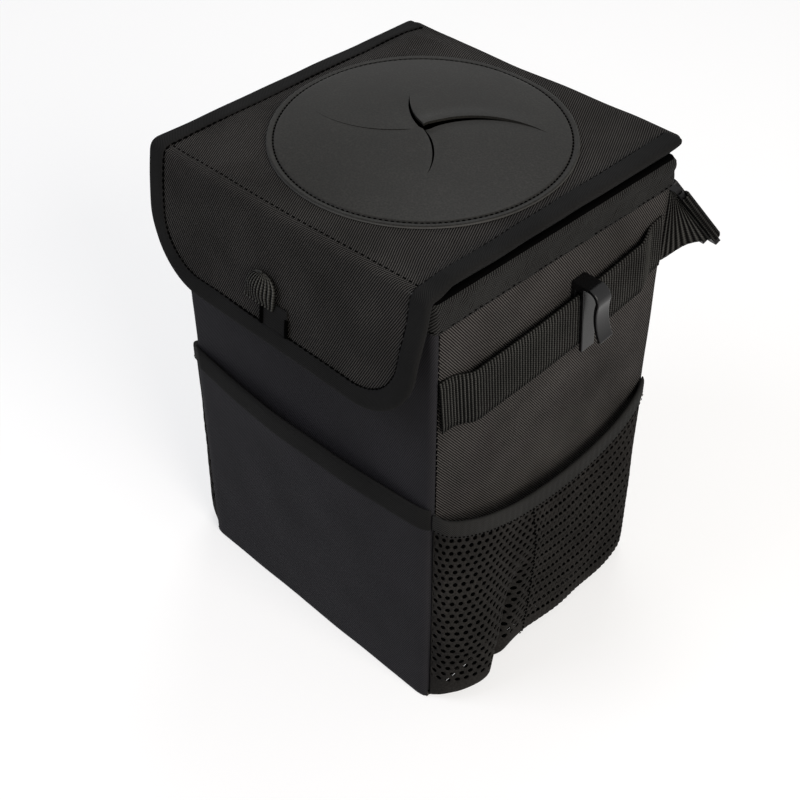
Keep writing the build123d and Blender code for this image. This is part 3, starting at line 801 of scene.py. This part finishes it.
def petal_sheet(k):
    """One sector of the mouth, with a crisp cut edge along its slits."""
    def place(u, v):
        radius = row_at(mouth_rows, v)
        opened = [max(0, 1 - (radius / slit_shown[k + side]) ** 2) for side in (0, 1)]
        gaps = [min(slit_gaps[k + side] * opened[side] / radius, 0.6) for side in (0, 1)]
        first, last = slit_angle(k, radius) + gaps[0], slit_angle(k + 1, radius) - gaps[1]
        turn = last + u * (first - last)
        across = (last - first) * radius
        curl = slit_lifts[k] * opened[0] * exp(-((1 - u) * across / curl_width) ** 2)
        curl -= slit_lifts[k + 1] * opened[1] * exp(-(u * across / curl_width) ** 2)
        x, y = radius * cos(turn), radius * sin(turn)
        return Vector((x, y, mouth_height(radius) + lid_lift(x, y) + curl))

    bm = cloth_grid(56, len(mouth_rows) - 1, place, (90 * mm, mouth_r))
    bmesh.ops.reverse_faces(bm, faces=bm.faces)
    bmesh.ops.solidify(bm, geom=bm.faces[:], thickness=-sheet_t)
    bmesh.ops.recalc_face_normals(bm, faces=bm.faces)
    for edge in bm.edges:
        edge.smooth = edge.calc_face_angle(0) < radians(50)
    # Faces at the outer rim take the paler cut-edge finish, which also paints the highlight along the rim.
    for face in bm.faces:
        reach = face.calc_center_median().xy.length
        face.material_index = 1 if reach > mouth_r - highlight_edge_band else 0
    return bm


print("slits end", round(slit_end / mm, 1), "mm from the centre")

# %% Mouth petals
for k, name in enumerate(petals):
    ends = [Vector((slit_end, 0, 0)) for side in (0, 1)]
    for side in (0, 1):
        ends[side].rotate(Matrix.Rotation(slit_angle(k + side, slit_end), 3, "Z"))
    made = piece("mouth_" + name, petal_sheet(k), leather, None,
                 (name, "mouth_sheet") if k == 0 else (name,))
    made.data.materials.append(leather_edge_highlight)
    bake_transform(made)

# %% Mouth stitches
stitch_stand = 0.25 * mm


def mouth_seam(t):
    """Place on the seam between border and dome."""
    spot = way(360 * t) * stitch_r
    z = mouth_height(stitch_r) + lid_lift(spot.x, spot.y) + stitch_stand
    return spot + at_height(z), Vector((0, 0, 1))


mouth_thread = bmesh.new()
stitch_row(mouth_thread, mouth_seam, 2 * pi * stitch_r, pitch=2.4 * mm, width=0.9 * mm, dash=0.75)
piece("mouth_stitches", mouth_thread, thread, "lid")

# %% [markdown]
# ## Webbing
# Straps and belt are ribbed webbing. A band follows a smooth line through a few places, with a direction
# across it at each, and its ribs stand at even lengths along it. Where that direction is longer, the band
# is wider. A side strap stands off the wall evenly where its clip slides, and sags a little there.

# %% Band of webbing
def spline(stops, share):
    """Point on a smooth line through the stops."""
    spot = share * (len(stops) - 1)
    k = min(int(spot), len(stops) - 2)
    t = spot - k
    a, b = stops[k], stops[k + 1]
    before, after = stops[max(k - 1, 0)], stops[min(k + 2, len(stops) - 1)]
    bend = (before * 2 - a * 5 + b * 4 - after) * t * t + (a * 3 - before - b * 3 + after) * t ** 3
    return (a * 2 + (b - before) * t + bend) / 2


def lengths(stops, fine=400):
    """Length gone at even steps along a smooth line."""
    return lengths_gone([spline(stops, k / fine) for k in range(fine + 1)])


def share_at(gone, want):
    """Share along a smooth line where that length is gone."""
    k = max(1, min(bisect_left(gone, want), len(gone) - 1))
    return (k - 1 + (want - gone[k - 1]) / (gone[k] - gone[k - 1])) / (len(gone) - 1)


rib_pitch, rib_steps, look_ahead = 1.7 * mm, 4, 0.003


def ribbed_band(stops, ups, width, depth):
    """Band through the stops, ribbed at even lengths on its outer face."""
    gone = lengths(stops)
    ribs = round(gone[-1] / rib_pitch)
    columns = ribs * rib_steps

    def place(u, v):
        share = share_at(gone, gone[-1] * round(u * columns) / columns)
        up = spline(ups, share)
        along = spline(stops, min(1, share + look_ahead)) - spline(stops, max(0, share - look_ahead))
        rib = depth * abs(sin(pi * u * ribs)) * (1 if 0.05 < v < 0.95 else 0.3)
        return spline(stops, share) + up * (v - 0.5) * width + along.cross(up).normalized() * rib

    return cloth_grid(columns, 8, place, (ribs * rib_pitch, width)), gone[-1]


# %% Side straps
strap_width, strap_tilt, strap_height, strap_stand = 28 * mm, radians(5), 190 * mm, 3.2 * mm
# Each place is how far back it lies, its share of the stand and its rise, in mm.
strap_profile = [
    (-71.5, 0, 3.5), (-67, 0, 3.2), (-62.5, 0.1, 2.4), (-58.5, 0.6, 1.4), (-54, 1, 0.4), (-48, 1, 0),
    (-32, 1, -0.8), (-12, 1, -1.6), (8, 1, -1.5), (20, 1, -1.3), (34, 1, -0.7),
    (48, 1, 0), (54, 1, 0.4), (58.5, 0.6, 1.6), (62.5, 0.1, 2.6), (67, 0, 3.2), (71.5, 0, 3.5),
]
strap_t, strap_rib = webbing - 0.5 * mm, 0.8 * mm
strap_turn = Matrix.Rotation(strap_tilt, 4, "X")
strap_stops, strap_ups = [], []
for y, share, rise in strap_profile:
    spot = strap_turn @ Vector((0, y * mm, rise * mm))
    strap_stops.append(spot + Vector((half_width + strap_stand * share + strap_t, 0, strap_height)))
    strap_ups.append(strap_turn @ Vector((0, 0, 1)))
for side in sides:
    bm, strap_length = ribbed_band(strap_stops, strap_ups, strap_width, strap_rib)
    bm = for_side(bm, side)
    made = piece("ribbed_strap_" + side, bm, ribbed, "bin", ("side_strap_" + side,))
    thicken(made, strap_t, 0)
print("side strap", round(strap_length / mm, 1), "mm long")

# %% [markdown]
# ## Net pockets
# Each side has a knitted net sewn down at both ends, along the foot and at a divider. At the foot it
# bulges in two lobes, the front one creased, and at the mouth the elastic draws it into one shallow bow.
# The net is cut flat as a honeycomb: every cell is inset and its middle taken out, which leaves a strand
# round each hole. Behind the divider it is gathered, so its cells are narrow there. The lowest cells stay
# closed as a hem. The flat net is then bent to its plan, which changes from the foot to the mouth, and
# rounded in below. The wall behind it lies in its shade, so those faces of the cloth get the black
# finish.

# %% Plan of the net
net_side = half_width + 0.3 * mm
net_setbacks = (1.3, 2.4, 5, 13, 26, 43, 58, 72, 95, 120, 137, 146, 148.4)
foot_stands = (0, 5, 9, 14, 16.5, 10.5, 9, 10, 10.5, 9.5, 7, 3, 0)
mouth_stands = (0, 4, 6.5, 8.5, 9.5, 9.5, 9, 8.5, 8, 7, 5, 2.2, 0)
net_front = round(half_depth / mm, 3)
foot_stops = [Vector((out, back - net_front, 0)) * mm for out, back in zip(foot_stands, net_setbacks)]
mouth_stops = [Vector((out, back - net_front, 0)) * mm for out, back in zip(mouth_stands, net_setbacks)]
net_foot, foot_bend = 1.4 * mm, 9 * mm
net_gone = lengths(foot_stops)
net_length, divider = net_gone[-1], net_gone[len(net_gone) // 2]
crease_along, crease_lean, crease_depth = 40 * mm, 0.3, 13 * mm
crease_half, crease_top = 4.5 * mm, 70 * mm
divider_lean, divider_spread = 4.5 * mm, 25 * mm
cell, gather = 4.7 * mm, 1.3
gather_wave, gather_start, free_span = 0.7 * mm, 10 * mm, 6 * mm
top_middle, top_slope, top_sag = 104 * mm, -0.0667, 3.38


def net_top(y):
    """Sagging mouth of the net."""
    return top_middle + top_slope * y + top_sag * y * y


def net_point(along, share, lift):
    """Place of the net, a distance along it and a share of its height up, lifted off its face."""
    at = share_at(net_gone, along)
    ahead = spline(foot_stops, min(1, at + 0.004)) - spline(foot_stops, max(0, at - 0.004))
    level = smooth(share)
    spot = spline(foot_stops, at).lerp(spline(mouth_stops, at), level)
    spot += Vector((ahead.y, -ahead.x, 0)).normalized() * lift
    z = net_foot + share * (net_top(spot.y) - net_foot)
    past = along - divider
    spot.y += divider_lean * 4 * share * (1 - share) * exp(-(past / divider_spread) ** 2)
    low = min(1, (z - net_foot) / foot_bend)
    off_crease = (along - crease_along - crease_lean * z) / crease_half
    crease = crease_depth * exp(-off_crease ** 2) * max(0, 1 - z / crease_top)
    free = min(1, (1 - share) * 6, spot.x / free_span)
    slack = ripple((along, z, 3), 22 * mm, 1.2 * mm)
    if past > 0:
        slack += gather_wave * sin(2 * pi * past * gather / cell) * min(1, past / gather_start)
    stand = (spot.x + slack * free - crease) * sqrt(max(0, 1 - (1 - low) ** 2))
    return Vector((net_side + max(0.2 * mm, stand), spot.y, z))


print("net", round(net_length / mm, 1), "mm along its foot")

# %% Honeycomb net
strand, net_t, net_height, net_hem, net_shade = 2.0 * mm, 0.8 * mm, 122 * mm, 13 * mm, 14 * mm
least_cell, yarn_share = 3 * mm ** 2, 0.7
net_flat = divider + (net_length - divider) * gather


def honeycomb():
    """Flat net of pointed cells, its outermost cells squeezed to the edge as a sewn net's are."""
    bm = bmesh.new()
    step = cell * sqrt(3) / 2
    for row in range(int(net_height / step) + 2):
        for column in range(int(net_flat / cell) + 2):
            middle = Matrix.Translation(((column + 0.5 * (row % 2)) * cell, row * step, 0))
            bmesh.ops.create_circle(bm, cap_ends=True, segments=6, radius=cell / sqrt(3), matrix=middle)
    bmesh.ops.remove_doubles(bm, verts=bm.verts, dist=0.2 * mm)
    for vert in bm.verts:
        vert.co.x = min(max(vert.co.x, 0), net_flat)
        vert.co.y = min(max(vert.co.y, 0), net_height)
    bmesh.ops.delete(bm, geom=[f for f in bm.faces if f.calc_area() < least_cell], context="FACES")
    bmesh.ops.recalc_face_normals(bm, faces=bm.faces)
    cells = bm.faces[:]
    bmesh.ops.inset_individual(bm, faces=cells, thickness=strand / 2, use_even_offset=True)
    bmesh.ops.delete(bm, geom=[f for f in cells if f.calc_center_median().y > net_hem], context="FACES")
    for vert in bm.verts:
        along = vert.co.x if vert.co.x < divider else divider + (vert.co.x - divider) / gather
        vert.co = net_point(along, vert.co.y / net_height, 0)
    return bm


for side in sides:
    bm = for_side(honeycomb(), side)
    made = piece("knit_net_" + side, bm, knit, "bin", ("net_pocket_" + side,))
    thicken(made, net_t)
    behind = bpy.data.objects[side + "_cloth"].data
    behind.materials.append(shaded)
    for face in behind.polygons:
        face.material_index = 1 if face.center.z < net_top(face.center.y) - net_shade else 0

# %% Elastic mouth tapes and divider seams
net_tape, puff_pitch, puff_depth = 10 * mm, 4.2 * mm, 0.08 * mm
tape_rows = [
    (-net_tape, 0.2), (-net_tape + 0.5 * mm, 1), (-7 * mm, 1), (-3.5 * mm, 1), (-0.6 * mm, 1),
    (0.5 * mm, 0.3), (0.5 * mm, -1.3), (-0.6 * mm, -2.4), (-net_tape, -2.4),
]


def tape_place(u, v):
    """The tape over the net's mouth, gathered a little by its elastic."""
    rise, lift = row_at(tape_rows, v)
    along = u * net_length
    spot = net_point(along, 1, lift * tape)
    puff = puff_depth * sin(2 * pi * along / puff_pitch) * (1 if lift > 0.5 else 0)
    return spot + Vector((puff, 0, rise))


def divider_seam(t):
    """Place on the seam that divides the pocket in two."""
    return net_point(divider, 0.03 + 0.9 * t, 0.5 * mm), Vector((1, 0, 0))


def tape_seam(t):
    """Place on the stitches near the tape's lower edge."""
    spot = net_point(t * net_length, 1, tape)
    return spot + Vector((0.3 * mm, 0, 1.4 * mm - net_tape)), Vector((1, 0, 0))


for side in sides:
    bm = for_side(cloth_grid(280, len(tape_rows) - 1, tape_place, (net_length, 2.2 * net_tape)), side)
    made = piece("elastic_tape_" + side, bm, elastic, "bin", ("net_tape_" + side,))
    thicken(made, 0.5 * tape)
    seams = bmesh.new()
    stitch_row(seams, divider_seam, 100 * mm, pitch=2.6 * mm, width=1.2 * mm)
    stitch_row(seams, tape_seam, net_length, pitch=2.4 * mm, width=0.8 * mm)
    piece("net_stitches_" + side, for_side(seams, side), thread, "bin")

# %% [markdown]
# ## Front pocket
# A flat pocket of the same cloth is sewn into the front corners and along the foot. Its mouth is bound
# and bows out a little, so its stand off the front grows towards the top and towards the middle.

# %% Front pocket
pocket_foot, pocket_top, pocket_tape = 0.8 * mm, 130 * mm, 12 * mm
pocket_half = half_width - front_r + 0.55 * front_r * pi / 2
pocket_stand, pocket_gap, pocket_edge = 0.15 * mm, 0.1 * mm, 5 * mm


def pocket_point(across, z, lift):
    """Place on the pocket, across it from its middle, lifted off its face."""
    share = (z - pocket_foot) / (pocket_top - pocket_foot)
    bow = (0.3 + 4.7 * share) * mm * (1 - (across / pocket_half) ** 2)
    edge = min(1, (pocket_half - abs(across)) / pocket_edge)
    bow += ripple((across, z, 9), 30 * mm, 0.6 * mm) * edge
    out = max(pocket_stand, bow) + pocket_gap + (cloth + lift) * (0.35 + 0.65 * edge)
    return outline(across, out) + at_height(z)


def pocket_place(u, v):
    """The pocket's cloth, from its foot to its mouth."""
    return pocket_point((2 * u - 1) * pocket_half, pocket_foot + v * (pocket_top - pocket_foot), 0)


pocket_size = (2 * pocket_half, pocket_top - pocket_foot)
pocket_bm = cloth_grid(110, 70, pocket_place, pocket_size)
pocket = piece("pocket_cloth", pocket_bm, front_oxford, "bin", ("front_pocket",))
thicken(pocket, 0.8 * cloth, 0)

# %% Front pocket's tape
pocket_rows = [
    (-pocket_tape, 0.2), (0.5 * mm - pocket_tape, 1), (-8 * mm, 1), (-4 * mm, 1), (-0.6 * mm, 1),
    (0.6 * mm, 0.2), (0.6 * mm, -1.0), (-0.6 * mm, -1.6), (-4 * mm, -1.6),
]


def pocket_tape_place(u, v):
    """The tape folded over the pocket's mouth, its edge sewn a little unevenly."""
    rise, lift = row_at(pocket_rows, v)
    across = (2 * u - 1) * pocket_half
    rise += ripple((across, 0, 4), 30 * mm, 0.5 * mm)
    return pocket_point(across, pocket_top, lift * tape) + at_height(rise)


tape_size = (2 * pocket_half, 1.6 * pocket_tape)
tape_bm = cloth_grid(160, len(pocket_rows) - 1, pocket_tape_place, tape_size)
pocket_binding = piece("pocket_binding", tape_bm, binding, "bin", ("front_pocket_tape",))
thicken(pocket_binding, 0.6 * tape)

# %% [markdown]
# ## Small parts
# The fastener patches, clips, buckle and adjuster keep the CAD form. Moulded and cut edges are never
# knife-sharp, so each is a merged copy of its node with flat faces joined and sharp edges rounded. The
# flap's pull tab is a loop of grosgrain flopped to one side, a ribbed mound over a flat foot.

# %% Mouldings and patches
def rounded_copy(node_name, name, look, body, radius):
    """A CAD node's own form with its sharp edges rounded."""
    bm = bmesh.new()
    bm.from_mesh(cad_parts[node_name].data)
    bmesh.ops.remove_doubles(bm, verts=bm.verts, dist=0.01 * mm)
    bmesh.ops.dissolve_limit(bm, angle_limit=radians(1), verts=bm.verts, edges=bm.edges)
    bmesh.ops.recalc_face_normals(bm, faces=bm.faces)
    sharp = [e for e in bm.edges if e.is_manifold and e.calc_face_angle() > radians(35)]
    bmesh.ops.bevel(bm, geom=sharp, offset=radius, offset_type="OFFSET", affect="EDGES", segments=3,
                    profile=0.5, material=-1, clamp_overlap=True)
    made = piece(name, bm, look, body, (node_name,))
    normals = made.modifiers.new("face normals", "WEIGHTED_NORMAL")
    normals.keep_sharp = True
    return made


for side in sides:
    clip = "clip_" + side
    rounded_copy("bag_" + clip, "moulded_" + clip, moulding, clip, 0.5 * mm)
rounded_copy("buckle_socket", "moulded_socket", satin, "bin", 0.5 * mm)
rounded_copy("buckle_plug", "moulded_plug", satin, "bin", 0.4 * mm)
rounded_copy("strap_adjuster", "moulded_adjuster", satin, "bin", 0.4 * mm)
rounded_copy("loop_patch", "loop_pile", pile, "bin", 0.2 * mm)
rounded_copy("hook_patch", "hook_pile", pile, "flap", 0.2 * mm)

# %% Pull tab
tab_start, tab_low, tab_end, tab_left, tab_right = 28 * mm, 45 * mm, 54 * mm, -6.2 * mm, 9.3 * mm
loop_half, loop_rise, loop_x, loop_flop = 9 * mm, 3.2 * mm, -4.5 * mm, 3.5 * mm
tab_rib, tab_ribs, foot_lap, bar_stand = 0.8 * mm, 18 / 1.9, 4 * mm, 1.2 * mm
foot_size = (tab_right - tab_left, tab_end - tab_low + foot_lap)
fold_offset = fold_end - (fold_middle + flap_out * fold_r - hinge).dot(flap_down)


def tab_place(u, v):
    """The tab's loop, flopped over to the left: a ribbed mound with a rounded top."""
    share = v ** 1.3
    half = loop_half * max(0.05, sqrt(1 - max(0, 1 - share / 0.45) ** 2))
    across = 1 - 2 * u
    mound = loop_rise * sin(pi * min(1, 0.06 + share)) * (1 - 0.75 * across ** 2)
    x = loop_x - loop_flop * share ** 2 + across * half
    s = fold_offset + tab_start + (tab_low - tab_start) * share
    spot, out = cover_point(x, s, webbing - 0.6 * mm + mound)
    return spot + out * tab_rib * abs(sin(pi * u * tab_ribs))


def foot_place(u, v):
    """The tab's flat foot, sewn down between two bars of thread, which also paint the shade beside it."""
    x = tab_right + u * (tab_left - tab_right)
    return cover_point(x, fold_offset + tab_low - foot_lap + foot_size[1] * v, 0.9 * mm)[0]


loop_bm = cloth_grid(76, 40, tab_place, (2 * loop_half, tab_low - tab_start))
thicken(piece("ribbed_tab", loop_bm, ribbon, "flap", ("pull_tab",)), 0.4 * mm, 0)
foot_bm = cloth_grid(16, 16, foot_place, foot_size)
thicken(piece("tab_foot", foot_bm, binding, "flap"), 0.6 * mm, 0)
tab_thread = bmesh.new()
bar_start, bar_run = fold_offset + tab_low, tab_end - tab_low
# The two bars are bar tacks of black thread, drawn wide and unbroken so that they also paint the shade in
# the gaps beside the loop's foot.
for x in (tab_left, tab_right):
    stitch_row(tab_thread, lambda t: cover_point(x, bar_start + t * bar_run, bar_stand), bar_run,
               pitch=0.9 * mm, width=2.6 * mm, dash=1.1)
piece("tab_stitches", tab_thread, thread, "flap")

# %% [markdown]
# ## Hanging belt
# A short lug of webbing comes off each rear corner and loops round a bar: the buckle's on the right and
# the adjuster's on the left. The long belt goes from the plug's bar, sags behind the bin and ends at the
# adjuster's bar. The bars lie in a frame that leans back, so the webbing turns as it goes.

# %% Frame of the belt's bars
belt_width, bar_height, bar_out, bar_back = 28 * mm, 208.5 * mm, 8.5 * mm, 11.5 * mm
belt_lean, belt_heading, buckle_heading = radians(38), 48, 168
loop_r = 2.45 * mm
bar_up = Vector((0, 0, cos(belt_lean))) - way(belt_heading) * sin(belt_lean)
bar_along = (way(buckle_heading) - bar_up * way(buckle_heading).dot(bar_up)).normalized()
bar_side = bar_along.cross(bar_up)
bar_middle = Vector((half_width + bar_out, half_depth + bar_back, bar_height))
flip = Vector((-1, 1, 1))


def bar_ring(x, start, end, steps):
    """Places round the bar that lies x along the belt."""
    middle = bar_middle + bar_along * x
    turns = [radians(start + (end - start) * k / steps) for k in range(steps + 1)]
    return [middle + (bar_along * cos(t) + bar_side * sin(t)) * loop_r for t in turns]


# %% Belt lugs
lug_start = Vector((half_width - rear_r, half_depth - rear_r, bar_height)) + way(45) * (rear_r + 0.9 * mm)
lug_run = bar_middle - lug_start
lug_run = (lug_run - bar_up * lug_run.dot(bar_up)).normalized()
lug_turn = atan2(-lug_run.dot(bar_side), -lug_run.dot(bar_along)) * 180 / pi
lug_ring = bar_ring(0, lug_turn, lug_turn + 300, 8)
lug_drop, belt_rib, belt_t = 4 * mm, 0.4 * mm, webbing - 0.6 * mm
lug_stops = [
    lug_start - way(45) * lug_drop - at_height(lug_drop), lug_start - at_height(lug_drop),
    lug_start.lerp(lug_ring[0], 0.5),
] + lug_ring
# The lug is sewn in wide at its root and narrows to the bar.
root_up, waist_up = Vector((0, 0, 1.3)), Vector((0, 0, 1.2)).lerp(bar_up, 0.5)
lug_ups = [root_up, root_up, waist_up] + [bar_up] * len(lug_ring)
for side in sides:
    bm, lug_length = ribbed_band(lug_stops, lug_ups, belt_width, belt_rib)
    bm = for_side(bm, side)
    made = piece("ribbed_lug_" + side, bm, ribbed, "bin", ("belt_lug_" + side,))
    thicken(made, belt_t, 0)
print("lug", round(lug_length / mm, 1), "mm long")

# %% Long belt
plug_x, adjuster_x = 46.4 * mm, 22 * mm
belt_start = bar_middle + bar_along * (plug_x + loop_r)
left_stop = bar_middle + bar_along * (adjuster_x + loop_r)
belt_end, end_up = left_stop * flip, bar_up * flip
belt_middle = Vector((-11 * mm, half_depth + bar_back + 25.5 * mm, bar_height - 18.5 * mm))
middle_up = Vector((0, -sin(belt_lean), cos(belt_lean)))
bar_steps, sag_steps = 6, 12
belt_stops, belt_ups = bar_ring(plug_x, 250, 30, bar_steps), [bar_up] * (bar_steps + 1)
for k in range(sag_steps + 1):
    t = k / sag_steps
    shares = (2 * (t - 0.5) * (t - 1), 4 * t * (1 - t), 2 * t * (t - 0.5))
    belt_stops.append(belt_start * shares[0] + belt_middle * shares[1] + belt_end * shares[2])
    belt_ups.append((bar_up * shares[0] + middle_up * shares[1] + end_up * shares[2]).normalized())
belt_stops += [spot * flip for spot in bar_ring(adjuster_x, 30, 250, bar_steps)]
belt_ups += [end_up] * (bar_steps + 1)
bm, belt_length = ribbed_band(belt_stops, belt_ups, belt_width, belt_rib)
belt = piece("ribbed_belt", bm, ribbed, "bin", ("hang_strap",))
thicken(belt, belt_t, 0)
print("belt", round(belt_length / mm, 1), "mm long")

# %% [markdown]
# ## Camera, floor and light
# The camera stands at the photograph's angle: 45 degrees to the right of the front and 41.5 degrees up.
# The floor is white to the camera and still takes the shadow. A large soft lamp stands to the right,
# which puts the highlight on the near right of the mouth. A weaker one fills the front from the left, and
# a small one high behind the bin lights the far part of the lid.

# %% Camera
camera = bpy.data.objects.new("camera", bpy.data.cameras.new("camera"))
bpy.context.collection.objects.link(camera)
bpy.context.scene.camera = camera
camera.data.lens, camera.data.sensor_width = 63.02, 36
camera.data.clip_start, camera.data.clip_end = 0.01, 20
bpy.context.scene.view_settings.view_transform = "Standard"
azimuth, elevation, distance = radians(45.17), radians(41.51), 0.6608
aim = Vector((15.31 * mm, -29.12 * mm, 125 * mm))
back = Vector((sin(azimuth) * cos(elevation), -cos(azimuth) * cos(elevation), sin(elevation)))
camera.location = aim + back * distance
camera.rotation_mode = "QUATERNION"
camera.rotation_quaternion = (-back).to_track_quat("-Z", "Y")
print("camera", round(distance, 3), "m from", list(aim))


# %% Floor
def seen_share(tree):
    """1 where a surface is seen, straight, in a gloss or through glass, and 0 where it only gives light."""
    rays = node(tree, "ShaderNodeLightPath").outputs
    seen = rays["Is Camera Ray"]
    for kind in ("Is Glossy Ray", "Is Transmission Ray"):
        seen = node(tree, "ShaderNodeMath", {0: seen, 1: rays[kind]}, operation="MAXIMUM").outputs[0]
    return seen


floor_bm = bmesh.new()
bmesh.ops.create_grid(floor_bm, x_segments=1, y_segments=1, size=6)
floor_mesh = bpy.data.meshes.new("studio_floor")
floor_bm.to_mesh(floor_mesh)
floor_bm.free()
floor = bpy.data.objects.new("studio_floor", floor_mesh)
bpy.context.collection.objects.link(floor)
paper = bpy.data.materials.new("white paper")
paper.use_nodes = True
tree = paper.node_tree
shader = tree.nodes["Principled BSDF"]
shader.inputs["Base Color"].default_value = linear("#b4b4b4")
shader.inputs["Roughness"].default_value = 0.9
shader.inputs["Emission Color"].default_value = linear("#ffffff")
paper_glow = 0.58
glow = node(tree, "ShaderNodeMath", {0: seen_share(tree), 1: paper_glow}, operation="MULTIPLY").outputs[0]
tree.links.new(glow, shader.inputs["Emission Strength"])
floor_mesh.materials.append(paper)
print("floor laid")

# %% World
sky_light = 0.28
world = bpy.data.worlds.new("studio")
bpy.context.scene.world = world
world.use_nodes = True
tree = world.node_tree
lit = node(tree, "ShaderNodeBackground", {"Color": linear("#ffffff"), "Strength": sky_light}).outputs[0]
shown = node(tree, "ShaderNodeBackground", {"Color": linear("#ffffff"), "Strength": 1.0}).outputs[0]
both = node(tree, "ShaderNodeMixShader", {0: seen_share(tree), 1: lit, 2: shown}).outputs[0]
tree.links.new(both, tree.nodes["World Output"].inputs["Surface"])
print("world lit by", sky_light)

# %% Lamps
bin_middle = Vector((0, 0, 120 * mm))


def softbox(name, bearing, height, reach, size, power, colour):
    """A square soft lamp that faces the middle of the bin, at a bearing from the front to the right."""
    lamp = bpy.data.lights.new(name, "AREA")
    lamp.shape, lamp.size, lamp.energy, lamp.color = "SQUARE", size, power, linear(colour)[:3]
    made = bpy.data.objects.new(name, lamp)
    bpy.context.collection.objects.link(made)
    turn, rise = radians(bearing), radians(height)
    toward = Vector((sin(turn) * cos(rise), -cos(turn) * cos(rise), sin(rise)))
    made.location = bin_middle + toward * reach
    made.rotation_euler = (-toward).to_track_quat("-Z", "Y").to_euler()
    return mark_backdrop(made)


softbox("key", bearing=80, height=29, reach=1.6, size=0.9, power=22.5, colour="#fff8f0")
softbox("top", bearing=215, height=60, reach=1.5, size=0.5, power=4.5, colour="#ffffff")
softbox("fill", bearing=-30, height=44, reach=1.8, size=1.0, power=11, colour="#f0f3ff")
print("lit")
